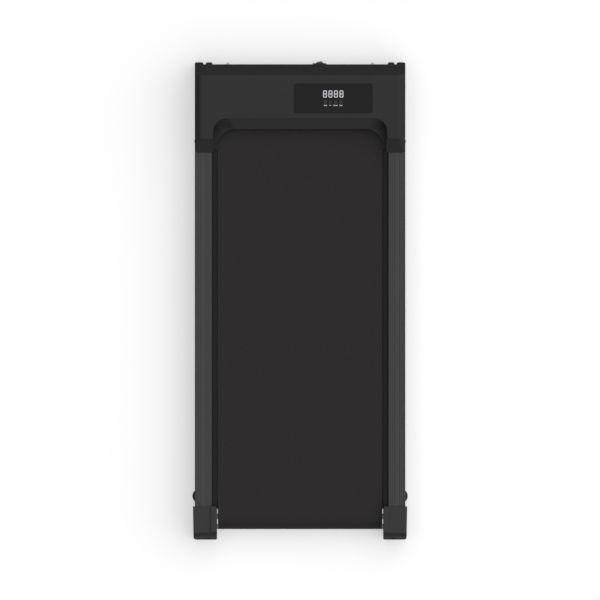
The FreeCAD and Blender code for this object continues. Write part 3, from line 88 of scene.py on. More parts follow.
# Icons, in shares of their radius; a hand has its middle's place and its length
long_hand = (0.30, 0.60)
short_hand = (0.22, 0.45)
flame_ring = 0.75
flame_rise = 0.90
flame_pinch = 1.20
road_half = 0.60
road_lean = math.radians(14.0)
dash_pitch = 0.70
dash_length = 0.40
needle_place = 0.20
needle_length = 0.90
needle_turn = math.radians(45.0)

# Rocker of the power switch, as it leans at rest, and its marks
rocker_arm = 0.0170
rocker_roof = 0.0055
rocker_half = 0.0100
rocker_lean = math.radians(13.3)
rocker_bar = (0.0011, 0.0075)
rocker_ring = 0.0036
rocker_stroke = 0.0009

# Screws; a head's outline, from its top down, and its slot are given in shares of its radius and height
small_screw = {"head": 0.0036, "height": 0.0018, "shank": 0.00175}
side_screw = {"head": 0.0036, "height": 0.0009, "shank": 0.00175}
foot_screw = {"head": 0.0050, "height": 0.0035, "shank": 0.00250}
deck_screw = {"head": 0.0055, "height": 0.0035, "shank": 0.00300}
head_outline = ((0.72, 0.0), (0.94, 0.3), (1.0, 0.7), (1.0, 1.0))
screw_sides = 24
slot_reach = 0.50
slot_width = 0.16
slot_taper = 0.70
slot_depth = 0.70
solid_weld = 0.00001

# Foam in the slot between deck and frame: its gap to both, and how far it stays inside the deck's faces
strip_bends = 2
foam_round = 0.0008
foam_gap = 0.0001
deck_foam_ends = (0.0030, 0.0013)
deck_foam_levels = (0.0030, 0.0060)

# Foam in front of each end cap: from belt and frame, behind and ahead of the cap's nose, and its heights
nose_foam_sides = (0.0008, 0.0020)
nose_foam_ends = (0.0050, 0.0067)
nose_foam_levels = (0.0440, 0.0480)

# Lip behind the rear shaft: out of and into the end cap's inner wall, from the cap's rear, and its heights
cap_lip_sides = (0.0017, 0.0008)
cap_lip_ends = (0.0245, 0.0365)
cap_lip_levels = (0.0300, 0.0640)
cap_lip_round = 0.0005

# Where the slope over the belt turns down along the hood's arms: a section, swept round a corner.
# The corner lies in from the belt's edge, behind the hood's rear and above the belt.
# The section's points are given out and up from it. It rises from a low tail to its full height, its foot
# then lifts towards the lip, and it bites into the collar.
turn_inset = 0.0410
turn_behind = 0.0054
turn_foot = 0.0044
turn_section = ((0.0443, 0.0), (0.0443, 0.0154), (0.0453, 0.0162), (0.0760, 0.0014), (0.0760, 0.0))
turn_start = math.radians(12.0)
turn_full = math.radians(52.0)
turn_end = math.radians(86.0)
turn_steps = 24
turn_tail = 0.25
turn_rise = 0.0125
turn_bite = 0.0019

# Colours, linear
white = (1.0, 1.0, 1.0, 1.0)
black = (0.0, 0.0, 0.0, 1.0)
floor_paper = (0.985, 0.985, 0.985, 1.0)
floor_bounce = (0.150, 0.150, 0.150, 1.0)
hood_grey = (0.0325, 0.0325, 0.0327)
rail_grey = (0.0528, 0.0528, 0.0530)
flange_grey = (0.01045, 0.01045, 0.01055)
cap_grey = (0.0412, 0.0412, 0.0414)
pan_grey = (0.0140, 0.0140, 0.0142)
belt_grey = (0.0232, 0.0210, 0.0221)
lens_black = (0.0045, 0.0043, 0.0048)
rubber_black = (0.0120, 0.0120, 0.0122)
foam_black = (0.0100, 0.0100, 0.0101)
paint_black = (0.0120, 0.0120, 0.0124)
nylon_black = (0.0100, 0.0100, 0.0101)
nylon_white = (0.6200, 0.6100, 0.5700)
steel_grey = (0.5200, 0.5200, 0.5300)
dark_steel = (0.0500, 0.0500, 0.0520)
cast_grey = (0.5500, 0.5500, 0.5600)
board_green = (0.0150, 0.0950, 0.0400)
switch_red = (0.1400, 0.0120, 0.0160)
deck_brown = (0.0340, 0.0300, 0.0280)
unlit_grey = (0.0200, 0.0200, 0.0210)
light_white = (0.7500, 0.7700, 0.8600)
label_white = (0.9600, 0.9600, 0.9600)
icon_grey = (0.0500, 0.0500, 0.0530)
print_white = (0.6000, 0.6000, 0.6000)

# Below, a noise is given by how many to the metre and its detail, and streaks by how many along each axis.
# A tone says how far a pattern lightens or darkens a colour, and a rough how far it changes the roughness.
shade_limit = 2.0
streak_detail = 3.0
usual_specular = 0.5

# Mouldings: colour, roughness, specular level and depth of grain
mouldings = {
    "hood_plastic": (hood_grey, 0.74, 0.018, 0.00003),
    "cap_plastic": (cap_grey, 0.74, 0.018, 0.00003),
    "pan_plastic": (pan_grey, 0.62, 0.15, 0.00006),
    "part_black": (pan_grey, 0.45, 0.30, 0.00003),
    "white_nylon": (nylon_white, 0.50, 0.40, 0.00003),
    "wheel_nylon": (nylon_black, 0.60, 0.10, 0.00003),
    "switch_black": (nylon_black, 0.35, 0.30, 0.00001),
    "rocker_red": (switch_red, 0.30, 0.40, 0.00001),
    "rocker_print": (print_white, 0.40, 0.30, 0.00001),
}
mould_grain = (2600.0, 2.0)
mould_clouds = (14.0, 3.0)
mould_sheen = (40.0, 2.0)
mould_grain_tone = 0.04
mould_cloud_tone = 0.08
mould_sheen_rough = 0.10

# Rails: the flange beside the belt is darker than the tread, and the floors of the tread's grooves are
# darkened with painted shade
rail_roughness = 0.52
rail_specular = 0.08
rail_streaks = (900.0, 6.0, 900.0)
rail_clouds = (9.0, 2.0)
rail_streak_tone = 0.12
rail_cloud_tone = 0.05
rail_streak_rough = 0.12
rail_depth = 0.00002
flange_width = 0.0131
groove_depth = 0.0006
groove_reach = 0.0002
groove_painted_shade = 0.22

# Belt: diamonds rise out of two crossed waves, and a join runs across its lower side
belt_roughness = 0.70
belt_specular = 0.08
belt_pitch = 0.00680
belt_emboss = (-0.5, 0.7)
belt_over_roller = 0.0023
belt_fibre = (1800.0, 3.0)
belt_clouds = (5.0, 2.0)
belt_hollow_tone = 0.75
belt_raised_tone = 0.46
belt_fibre_tone = 0.12
belt_cloud_tone = 0.06
belt_join_tone = 0.40
belt_raised_rough = 0.10
belt_fibre_rough = 0.08
belt_fibre_relief = 0.3
belt_depth = 0.00018
belt_join_place = 0.120
belt_join_slant = 0.45
belt_join_half = 0.0011
belt_join_top = 0.030

# Lens
lens_roughness = 0.125
lens_specular = 0.12
lens_haze = (30.0, 2.0)
lens_haze_tone = 0.20
lens_haze_rough = 0.05

# Rubber and foam
rubbers = {"black_rubber": (rubber_black,), "closing_foam": (foam_black,)}
rubber_roughness = 0.78
rubber_specular = 0.20
rubber_grain = (900.0, 4.0)
rubber_tone = 0.30
rubber_rough = 0.12
rubber_depth = 0.00006

# Powder paint
paints = {"frame_paint": (paint_black,), "motor_paint": (paint_black,)}
paint_roughness = 0.48
paint_specular = 0.40
paint_peel = (700.0, 2.0)
paint_clouds = (25.0, 3.0)
paint_tone = 0.20
paint_rough = 0.12
paint_depth = 0.00005

# Metals: colour, roughness and marks
turned_marks = (900.0, 60.0, 60.0)
drawn_marks = (500.0, 8.0, 500.0)
cast_marks = (300.0, 300.0, 300.0)
metals = {
    "bright_steel": (steel_grey, 0.34, turned_marks),
    "roller_steel": (steel_grey, 0.40, turned_marks),
    "dark_screws": (dark_steel, 0.44, turned_marks),
    "cast_aluminium": (cast_grey, 0.50, cast_marks),
    "rotor_steel": (steel_grey, 0.47, drawn_marks),
    "pin_metal": (steel_grey, 0.32, drawn_marks),
}
metal_tone = 0.24
metal_rough = 0.16
metal_depth = 0.00002

# Deck
deck_roughness = 0.70
deck_specular = 0.05
deck_layer = 0.0016
deck_grain = (60.0, 3.0)
deck_layer_tone = 0.10
deck_grain_tone = 0.20
deck_layer_rough = 0.10

# Circuit boards
board_roughness = 0.40
track_waves = (1400.0, 1100.0)
track_edge = 0.55
track_tone = 0.30
track_rough = 0.10

# Marks that are lit from behind the lens
lights = {"digit_light": (light_white,), "icon_print": (icon_grey,), "label_print": (label_white,)}
light_roughness = 0.40
light_cells = (400.0, 1.0)
light_tone = 0.08


class Field:
    """A shader socket that can be used in sums, and the one way to add a node."""

    def __init__(self, tree, socket=None):
        self.tree = tree
        self.socket = socket

    def add(self, kind, settings=None, sockets=None, output=0):
        node = self.tree.nodes.new("ShaderNode" + kind)
        for name, value in (settings or {}).items():
            setattr(node, name, value)
        for name, value in (sockets or {}).items():
            if isinstance(value, Field):
                self.tree.links.new(value.socket, node.inputs[name])
            else:
                node.inputs[name].default_value = value
        return Field(self.tree, node.outputs[output] if node.outputs else None)

    def maths(self, operation, first, second=0.0):
        return self.add("Math", {"operation": operation}, {0: first, 1: second})

    def __add__(self, other):
        return self.maths("ADD", self, other)

    def __radd__(self, other):
        return self.maths("ADD", other, self)

    def __sub__(self, other):
        return self.maths("SUBTRACT", self, other)

    def __rsub__(self, other):
        return self.maths("SUBTRACT", other, self)

    def __mul__(self, other):
        return self.maths("MULTIPLY", self, other)

    def __rmul__(self, other):
        return self.maths("MULTIPLY", other, self)

    def __abs__(self):
        return self.maths("ABSOLUTE", self)

    def sine(self):
        return self.maths("SINE", self)

    def above(self, edge):
        return self.maths("GREATER_THAN", self, edge)

    def ease(self, low, high):
        """0 below low, 1 above high, with a smooth bend between."""
        settings = {"interpolation_type": "SMOOTHSTEP"}
        return self.add("MapRange", settings, {0: self, 1: low, 2: high})

    def outputs(self, names):
        sockets = self.socket.node.outputs
        return [Field(self.tree, sockets[name]) for name in names]


def start_material(name):
    material = bpy.data.materials.new(name)
    material.use_nodes = True
    material.node_tree.nodes.clear()
    return material, Field(material.node_tree)


def close_material(start, surface):
    start.add("OutputMaterial", None, {"Surface": surface})


def place_of(start):
    return start.add("TexCoord", output="Object")


def axis_values(start, axes):
    return start.add("SeparateXYZ", None, {0: place_of(start)}).outputs(axes)


def noise(start, texture):
    scale, detail = texture
    return start.add("TexNoise", None, {"Vector": place_of(start), "Scale": scale, "Detail": detail})


def streaks_of(start, stretch):
    """Noise drawn out along one axis."""
    place = start.add("Mapping", None, {"Vector": place_of(start), "Scale": stretch})
    return start.add("TexNoise", None, {"Vector": place, "Scale": 1.0, "Detail": streak_detail})


def swing(pattern, spread):
    """A pattern of 0 to 1, turned into one that goes both ways from nothing."""
    return spread * pattern - spread / 2


def mix(start, share, first, second):
    settings = {"data_type": "RGBA", "blend_type": "MIX"}
    return start.add("Mix", settings, {0: share, 6: first, 7: second}, output=2)


def shade(start, colour, amount):
    """A colour made lighter or darker by a value about one."""
    lightest = tuple(shade_limit * channel for channel in colour) + (1.0,)
    return mix(start, amount * (1 / shade_limit), black, lightest)


def bump(start, height, distance):
    return start.add("Bump", None, {"Height": height, "Distance": distance})


def finish(start, colour, roughness, normal=None, specular=usual_specular, metal=0.0):
    sockets = {
        "Base Color": colour,
        "Roughness": roughness,
        "Specular IOR Level": specular,
        "Metallic": metal,
    }
    if normal is not None:
        sockets["Normal"] = normal
    close_material(start, start.add("BsdfPrincipled", None, sockets))


def moulded_plastic(name, colour, roughness, specular, depth):
    """Textured moulding: a fine grain, and faint clouds in colour and roughness."""
    material, start = start_material(name)
    grain = noise(start, mould_grain)
    tone = 1 + swing(noise(start, mould_clouds), mould_cloud_tone) + swing(grain, mould_grain_tone)
    rough = roughness + swing(noise(start, mould_sheen), mould_sheen_rough)
    finish(start, shade(start, colour, tone), rough, bump(start, grain, depth), specular)
    return material


def extruded_plastic(name):
    """Drawn lengthwise: faint streaks along the rail, painted shade in the floors of the grooves, and a
    darker flange beside the belt.
    """
    material, start = start_material(name)
    low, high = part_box("side_rail_right")
    x, z = axis_values(start, "XZ")
    # The floors of the tread's grooves are darkened with painted shade
    groove_shade_mask = 1 - abs(z - (high.z - groove_depth)).above(groove_reach)
    on_tread = abs(x).above(low.x + flange_width)
    streaks = streaks_of(start, rail_streaks)
    clouds = noise(start, rail_clouds)
    tone = 1 + swing(streaks, rail_streak_tone) + swing(clouds, rail_cloud_tone) - groove_painted_shade * groove_shade_mask
    tint = mix(start, on_tread, shade(start, flange_grey, tone), shade(start, rail_grey, tone))
    rough = rail_roughness + swing(streaks, rail_streak_rough)
    finish(start, tint, rough, bump(start, streaks, rail_depth), rail_specular)
    return material


def along_belt(start, y, z):
    """How far along the belt a place is, on its upper run, round the rear roller and underneath."""
    low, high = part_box("rear_roller_tube")
    middle = (low + high) / 2
    radius = (high.z - low.z) / 2 + belt_over_roller
    ahead = y.above(middle.y)
    angle = start.maths("ARCTAN2", middle.y - y, z - middle.z)
    round_roller = middle.y - radius * angle
    turned_back = (1 - z.above(middle.z)) * (2 * middle.y - math.pi * radius - 2 * y)
    return ahead * (y + turned_back) + (1 - ahead) * round_roller


def belt_cover(name):
    """Black belting, embossed with small diamonds, and joined on a slant where it runs underneath."""
    material, start = start_material(name)
    x, y, z = axis_values(start, "XYZ")
    wave = 2 * math.pi / belt_pitch
    raised = ((x * wave).sine() * (along_belt(start, y, z) * wave).sine()).ease(*belt_emboss)
    off_join = abs(y + x * belt_join_slant - belt_join_place).above(belt_join_half)
    join = (1 - off_join) * (1 - z.above(belt_join_top))
    fibre = noise(start, belt_fibre)
    worn = swing(fibre, belt_fibre_tone) + swing(noise(start, belt_clouds), belt_cloud_tone)
    tone = belt_hollow_tone + belt_raised_tone * raised + worn - belt_join_tone * join
    rough = belt_roughness - belt_raised_rough * raised + swing(fibre, belt_fibre_rough)
    normal = bump(start, raised + belt_fibre_relief * fibre - join, belt_depth)
    finish(start, shade(start, belt_grey, tone), rough, normal, belt_specular)
    return material


def smoked_lens(name):
    material, start = start_material(name)
    haze = noise(start, lens_haze)
    tint = shade(start, lens_black, 1 + swing(haze, lens_haze_tone))
    finish(start, tint, lens_roughness + swing(haze, lens_haze_rough), None, lens_specular)
    return material


def soft_rubber(name, colour):
    material, start = start_material(name)
    grain = noise(start, rubber_grain)
    tint = shade(start, colour, 1 + swing(grain, rubber_tone))
    rough = rubber_roughness + swing(grain, rubber_rough)
    finish(start, tint, rough, bump(start, grain, rubber_depth), rubber_specular)
    return material


def powder_paint(name, colour):
    material, start = start_material(name)
    peel = noise(start, paint_peel)
    tint = shade(start, colour, 1 + swing(noise(start, paint_clouds), paint_tone))
    rough = paint_roughness + swing(peel, paint_rough)
    finish(start, tint, rough, bump(start, peel, paint_depth), paint_specular)
    return material


def bare_metal(name, colour, roughness, stretch):
    """Turned, drawn or cast metal, with fine marks."""
    material, start = start_material(name)
    marks = streaks_of(start, stretch)
    tint = shade(start, colour, 1 + swing(marks, metal_tone))
    finish(start, tint, roughness + swing(marks, metal_rough), bump(start, marks, metal_depth), metal=1.0)
    return material


def film_board(name):
    """Board under a dark film, with its layers faint at the edge."""
    material, start = start_material(name)
    height = axis_values(start, "Z")[0]
    layers = (height * (2 * math.pi / deck_layer)).sine()
    tone = 1 + deck_layer_tone * layers + swing(noise(start, deck_grain), deck_grain_tone)
    rough = deck_roughness + deck_layer_rough * layers
    finish(start, shade(start, deck_brown, tone), rough, None, deck_specular)
    return material


def circuit_board(name):
    material, start = start_material(name)
    x, y = axis_values(start, "XY")
    tracks = ((x * track_waves[0]).sine() * (y * track_waves[1]).sine()).above(track_edge)
    tint = shade(start, board_green, 1 + swing(tracks, track_tone))
    finish(start, tint, board_roughness + swing(tracks, track_rough))
    return material


def glow(name, colour):
    """Lit from behind the lens, a little uneven."""
    material, start = start_material(name)
    tone = 1 + swing(noise(start, light_cells), light_tone)
    sockets = {
        "Base Color": shade(start, unlit_grey, tone),
        "Roughness": light_roughness,
        "Emission Color": shade(start, colour, tone),
        "Emission Strength": 1.0,
    }
    close_material(start, start.add("BsdfPrincipled", None, sockets))
    return material


def build_finishes():
    """Every finish, under its own name."""
    families = (
        (moulded_plastic, mouldings),
        (soft_rubber, rubbers),
        (powder_paint, paints),
        (bare_metal, metals),
        (glow, lights),
    )
    finishes = {name: make(name, *look) for make, family in families for name, look in family.items()}
    finishes["rail_plastic"] = extruded_plastic("rail_plastic")
    finishes["belt_pvc"] = belt_cover("belt_pvc")
    finishes["lens_acrylic"] = smoked_lens("lens_acrylic")
    finishes["deck_wood"] = film_board("deck_wood")
    finishes["green_board"] = circuit_board("green_board")
    return finishes


def dress_nodes(finishes):
    for part in frame["record"]["subparts"]:
        mesh = frame["nodes"][part["node"]].data
        mesh.materials.clear()
        mesh.materials.append(finishes[part["material_slot"]])


def in_scene(name, data):
    """An object that holds a mesh, a curve, a light or a camera."""
    made = bpy.data.objects.new(name, data)
    bpy.context.scene.collection.objects.link(made)
    return made


def mesh_in_scene(name, shape, material):
    mesh = bpy.data.meshes.new(name)
    shape.to_mesh(mesh)
    shape.free()
    mesh.materials.append(material)
    return in_scene(name, mesh)


def new_piece(name, shape, material, body):
    """A finished piece out of a shape, with its faces turned outwards."""
    bmesh.ops.recalc_face_normals(shape, faces=shape.faces)
    if shape.calc_volume(signed=True) < 0:
        bmesh.ops.reverse_faces(shape, faces=shape.faces)
    piece = mesh_in_scene(name, shape, material)
    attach(piece, body)
    return piece


def connected(verts):
    """All corners joined to these by edges."""
    seen = {vert for vert in verts if vert.is_valid}
    queue = list(seen)
    while queue:
        vert = queue.pop()
        for edge in vert.link_edges:
            other = edge.other_vert(vert)
            if other not in seen:
                seen.add(other)
                queue.append(other)
    return list(seen)


def box_of(verts):
    low = Vector([min(vert.co[axis] for vert in verts) for axis in range(3)])
    high = Vector([max(vert.co[axis] for vert in verts) for axis in range(3)])
    return low, high


def on_both_sides(shape):
    """Repeats on the pad's left what is on its right."""
    bmesh.ops.mirror(shape, geom=shape.verts[:] + shape.edges[:] + shape.faces[:], axis="X")


def flat_bar(shape, place, size, turn=0.0, tip=0.0):
    """A thin flat bar; its two ends are pointed where a tip is given."""
    made = bmesh.ops.create_cube(shape, size=1.0)["verts"]
    bmesh.ops.scale(shape, vec=(size[0], size[1], mark_rise), verts=made)
    if tip:
        edges = {edge for vert in made for edge in vert.link_edges}
        upright = [edge for edge in edges if abs(edge.verts[0].co.z - edge.verts[1].co.z) > mark_rise / 2]
        cut = bmesh.ops.bevel(
            shape, geom=upright, offset=tip, affect="EDGES", segments=1, profile=0.5, material=-1
        )
        made = connected({vert for face in cut["faces"] for vert in face.verts})
    matrix = Matrix.Translation(place) @ Matrix.Rotation(turn, 4, "Z")
    bmesh.ops.transform(shape, matrix=matrix, verts=made)
    return made


def flat_ring(shape, middle, radius, stroke):
    """A thin flat ring."""
    inner = Vector((radius - stroke, 0, -mark_rise / 2))
    outer = Vector((radius, 0, -mark_rise / 2))
    rise = Vector((0, 0, mark_rise))
    verts = [shape.verts.new(corner) for corner in (inner, outer, outer + rise, inner + rise)]
    edges = [shape.edges.new((verts[index - 1], verts[index])) for index in range(len(verts))]
    bmesh.ops.spin(
        shape,
        geom=verts + edges,
        cent=(0, 0, 0),
        axis=(0, 0, 1),
        angle=2 * math.pi,
        steps=ring_steps,
        use_merge=True,
    )
    made = connected(verts)
    bmesh.ops.translate(shape, vec=middle, verts=made)
    return made


def on_lens(aside, ahead):
    """A mark's place, from the middle of the lens."""
    low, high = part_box("display_lens")
    middle = (low + high) / 2
    return Vector((middle.x + aside, middle.y + ahead, high.z + mark_rise / 2))


def digit(shape, middle):
    """Seven bars in a figure eight."""
    across = digit_width - digit_stroke
    rise = (digit_height - digit_stroke) / 2
    tip = (digit_stroke - digit_point) / 2
    for level in (-1, 0, 1):
        place = middle + Vector((0, level * rise, 0))
        flat_bar(shape, place, (across - digit_gap, digit_stroke), 0.0, tip)
    for side in (-1, 1):
        for level in (-1, 1):
            place = middle + Vector((side * across / 2, level * rise / 2, 0))
            flat_bar(shape, place, (rise - digit_gap, digit_stroke), math.pi / 2, tip)


def display_digits(material):
    shape = bmesh.new()
    for index in range(digit_count):
        aside = digits_aside + digit_pitch * (index - (digit_count - 1) / 2)
        digit(shape, on_lens(aside, digits_ahead))
    new_piece("display_digits", shape, material, "frame")


def clock_icon(shape, middle, radius):
    flat_ring(shape, middle, radius, icon_stroke)
    up = Vector((0, radius * long_hand[0], 0))
    flat_bar(shape, middle + up, (icon_stroke, radius * long_hand[1]))
    aside = Vector((radius * short_hand[0], 0, 0))
    flat_bar(shape, middle + aside, (radius * short_hand[1], icon_stroke))


def flame_icon(shape, middle, radius):
    """A ring drawn up to a point."""
    lowered = middle - Vector((0, radius * (1 - flame_ring), 0))
    for vert in flat_ring(shape, lowered, radius * flame_ring, icon_stroke):
        lift = max(0.0, vert.co.y - middle.y) / radius
        vert.co.y += lift * radius * flame_rise
        vert.co.x += (middle.x - vert.co.x) * min(1.0, lift * flame_pinch)


def road_icon(shape, middle, radius):
    """Two edges that close in with distance, and three dashes between them."""
    for side in (-1, 1):
        edge = middle + Vector((side * radius * road_half, 0, 0))
        flat_bar(shape, edge, (2 * radius, icon_stroke), math.pi / 2 - side * road_lean)
    for level in (-1, 0, 1):
        dash = middle + Vector((0, level * radius * dash_pitch, 0))
        flat_bar(shape, dash, (icon_stroke, radius * dash_length))


def dial_icon(shape, middle, radius):
    flat_ring(shape, middle, radius, icon_stroke)
    needle = middle + Vector((radius * needle_place, radius * needle_place, 0))
    flat_bar(shape, needle, (radius * needle_length, icon_stroke), needle_turn)


def display_icons(material):
    shape = bmesh.new()
    for draw, aside in zip((clock_icon, flame_icon, road_icon, dial_icon), label_places):
        draw(shape, on_lens(aside, -icons_behind), icon_radius)
    new_piece("display_icons", shape, material, "frame")


def written(word):
    """A word as a flat mesh, as the font gives it."""
    curve = bpy.data.curves.new("label", "FONT")
    curve.body = word
    curve.extrude = mark_rise / 2
    writing = in_scene("label", curve)
    depsgraph = bpy.context.evaluated_depsgraph_get()
    mesh = bpy.data.meshes.new_from_object(writing.evaluated_get(depsgraph))
    bpy.data.objects.remove(writing)
    return mesh


def display_labels(material):
    shape = bmesh.new()
    for word, aside, width in zip(label_words, label_places, label_widths):
        mesh = written(word)
        low, high = box_of(mesh.vertices)
        size = high - low
        middle = (low + high) / 2
        fit = Matrix.Diagonal((width / size.x, label_height / size.y, 1.0, 1.0))
        centre = Matrix.Translation((-middle.x, -middle.y, 0))
        mesh.transform(Matrix.Translation(on_lens(aside, -labels_behind)) @ fit @ centre)
        shape.from_mesh(mesh)
        bpy.data.meshes.remove(mesh)
    bmesh.ops.remove_doubles(shape, verts=shape.verts, dist=label_weld)
    new_piece("display_labels", shape, material, "frame")


def rocker_marks(material):
    """A bar on one slope of the rocker and a ring on the other, leaning with it."""
    shape = bmesh.new()
    low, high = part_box("switch_housing")
    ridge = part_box("power_rocker")[1].y
    pivot = Vector(((low.x + high.x) / 2, ridge - rocker_arm * math.cos(rocker_lean), (low.z + high.z) / 2))
    lean = Matrix.Translation(pivot) @ Matrix.Rotation(-rocker_lean, 4, "Z")
    slope = math.atan2(rocker_roof, rocker_half)
    bar = flat_bar(shape, Vector((0, 0, mark_rise / 2)), rocker_bar)
    ring = flat_ring(shape, Vector((0, 0, mark_rise / 2)), rocker_ring, rocker_stroke)
    for side, verts in ((-1, bar), (1, ring)):
        place = Vector((side * rocker_half / 2, rocker_arm - rocker_roof / 2, 0))
        upright = Matrix.Rotation(-side * slope, 4, "Z") @ Matrix.Rotation(-math.pi / 2, 4, "X")
        bmesh.ops.transform(shape, matrix=lean @ Matrix.Translation(place) @ upright, verts=verts)
    new_piece("rocker_marks", shape, material, "power_rocker")


def solid_boxes(node):
    """The box of each separate solid of a node."""
    shape = bmesh.new()
    shape.from_mesh(frame["nodes"][node].data)
    bmesh.ops.remove_doubles(shape, verts=shape.verts, dist=solid_weld)
    left = set(shape.verts)
    boxes = []
    while left:
        solid = connected({left.pop()})
        left.difference_update(solid)
        boxes.append(box_of(solid))
    shape.free()
    return boxes


def cross_slot(shape, size):
    """A flat square with a tapered cross sunk in it; gives the square's own edges."""
    reach = size["head"] * slot_reach
    width = size["head"] * slot_width
    made = bmesh.ops.create_grid(shape, x_segments=3, y_segments=3, size=reach)["verts"]
    for vert in made:
        for axis in (0, 1):
            if abs(vert.co[axis]) < reach / 2:
                vert.co[axis] = math.copysign(width, vert.co[axis])
    faces = {face for vert in made for face in vert.link_faces}
    rim = [edge for edge in {edge for face in faces for edge in face.edges} if edge.is_boundary]
    arms = [face for face in faces if min(abs(value) for value in face.calc_center_median().xy) < width / 2]
    sunk = bmesh.ops.extrude_face_region(shape, geom=arms)["geom"]
    floor = [item for item in sunk if isinstance(item, bmesh.types.BMVert)]
    bmesh.ops.scale(shape, vec=(slot_taper, slot_taper, 1.0), verts=floor)
    bmesh.ops.translate(shape, vec=(0, 0, -size["height"] * slot_depth), verts=floor)
    bmesh.ops.delete(shape, geom=[face for face in arms if face.is_valid], context="FACES_ONLY")
    return rim


def cross_screw(shape, size, length, matrix):
    """A round head with a cross slot, and its shank, down the matrix's own z from its top."""
    rim = cross_slot(shape, size)
    outline = [(size["head"] * out, -size["height"] * down) for out, down in head_outline]
    outline += [(size["shank"], -size["height"]), (size["shank"], -length)]
    ring = bmesh.ops.create_circle(shape, segments=screw_sides, radius=outline[0][0])["verts"]
    edges = list({edge for vert in ring for edge in vert.link_edges})
    bmesh.ops.bridge_loops(shape, edges=rim + edges)
    for (before, top), (after, bottom) in zip(outline, outline[1:]):
        grown = bmesh.ops.extrude_edge_only(shape, edges=edges)["geom"]
        ring = [item for item in grown if isinstance(item, bmesh.types.BMVert)]
        edges = [item for item in grown if isinstance(item, bmesh.types.BMEdge)]
        bmesh.ops.scale(shape, vec=(after / before, after / before, 1.0), verts=ring)
        bmesh.ops.translate(shape, vec=(0, 0, bottom - top), verts=ring)
    bmesh.ops.edgeloop_fill(shape, edges=edges)
    bmesh.ops.transform(shape, matrix=matrix, verts=connected(ring))


def from_below(low, high):
    """The length of a screw that is driven in from underneath, and where its head is."""
    middle = (low + high) / 2
    return high.z - low.z, Matrix.Translation((middle.x, middle.y, low.z)) @ Matrix.Rotation(math.pi, 4, "X")


def from_aside(low, high):
    """The length of a screw that is driven in from one of the pad's sides, and where its head is."""
    middle = (low + high) / 2
    side = math.copysign(1.0, middle.x)
    face = Vector((high.x if side > 0 else low.x, middle.y, middle.z))
    return high.x - low.x, Matrix.Translation(face) @ Matrix.Rotation(side * math.pi / 2, 4, "Y")


def slotted_screws(node, size, driven, material):
    """Screws with a cross slot, in the places of a node's plain ones."""
    shape = bmesh.new()
    for low, high in solid_boxes(node):
        length, place = driven(low, high)
        cross_screw(shape, size, length, place)
    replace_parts(new_piece(node + "_slotted", shape, material, "frame"), node)


def strips(name, low, high, bend, material):
    """The same straight strip, with rounded edges, on the pad's two sides."""
    shape = bmesh.new()
    made = bmesh.ops.create_cube(shape, size=1.0)["verts"]
    bmesh.ops.scale(shape, vec=high - low, verts=made)
    bmesh.ops.translate(shape, vec=(low + high) / 2, verts=made)
    bmesh.ops.bevel(
        shape,
        geom=shape.edges[:],
        offset=bend,
        affect="EDGES",
        segments=strip_bends,
        profile=0.5,
        material=-1,
    )
    on_both_sides(shape)
    new_piece(name, shape, material, "frame")


def frame_wall():
    """The frame's inner face, where the cross members end."""
    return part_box("cross_member_front")[1].x


def deck_edge_foam(material):
    """Closes the slot between deck and frame."""
    low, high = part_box("deck_board")
    near = Vector((high.x + foam_gap, low.y + deck_foam_ends[0], low.z + deck_foam_levels[0]))
    far = Vector((frame_wall() - foam_gap, high.y - deck_foam_ends[1], high.z - deck_foam_levels[1]))
    strips("deck_edge_foam", near, far, foam_round, material)


def cap_nose_foam(material):
    """Closes the joint in front of each end cap."""
    belt_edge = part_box("walking_belt")[1].x
    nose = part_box("end_cap_right")[1].y
    near = Vector((belt_edge + nose_foam_sides[0], nose - nose_foam_ends[0], nose_foam_levels[0]))
    far = Vector((frame_wall() - nose_foam_sides[1], nose + nose_foam_ends[1], nose_foam_levels[1]))
    strips("cap_nose_foam", near, far, foam_round, material)


def cap_lips(material):
    """A lip along each end cap's inner wall, behind the rear roller's shaft."""
    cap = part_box("end_cap_right")[0]
    near = Vector((cap.x - cap_lip_sides[0], cap.y + cap_lip_ends[0], cap_lip_levels[0]))
    far = Vector((cap.x + cap_lip_sides[1], cap.y + cap_lip_ends[1], cap_lip_levels[1]))
    strips("cap_lips", near, far, cap_lip_round, material)


def shape_return(vert, corner):
    """Low where it ends beside the belt, and thin where it meets the slope's lip."""
    aim = vert.co - corner
    angle = math.atan2(aim.y, aim.x)
    if aim.z > solid_weld:
        grown = min(1.0, (angle - turn_start) / (turn_full - turn_start))
        vert.co.z = corner.z + aim.z * (turn_tail + (1 - turn_tail) * grown)
    else:
        vert.co.z += turn_rise * max(0.0, (angle - turn_full) / (turn_end - turn_full))


def sweep_return(shape, corner):
    """The section, swept round the corner."""
    aim = Vector((math.cos(turn_start), math.sin(turn_start), 0))
    verts = [shape.verts.new(corner + aim * out + Vector((0, 0, up))) for out, up in turn_section]
    face = shape.faces.new(verts)
    bmesh.ops.spin(
        shape,
        geom=verts + face.edges[:] + [face],
        cent=corner,
        axis=(0, 0, 1),
        angle=turn_end - turn_start,
        steps=turn_steps,
    )
    for vert in shape.verts:
        shape_return(vert, corner)


def trim_return(shape):
    """Cuts off what would reach too far into the hood's arm."""
    arm_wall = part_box("collar_right")[0].x + turn_bite
    everything = shape.verts[:] + shape.edges[:] + shape.faces[:]
    cut = bmesh.ops.bisect_plane(
        shape, geom=everything, plane_co=(arm_wall, 0, 0), plane_no=(1, 0, 0), clear_outer=True
    )
    rim = [item for item in cut["geom_cut"] if isinstance(item, bmesh.types.BMEdge)]
    bmesh.ops.holes_fill(shape, edges=rim)


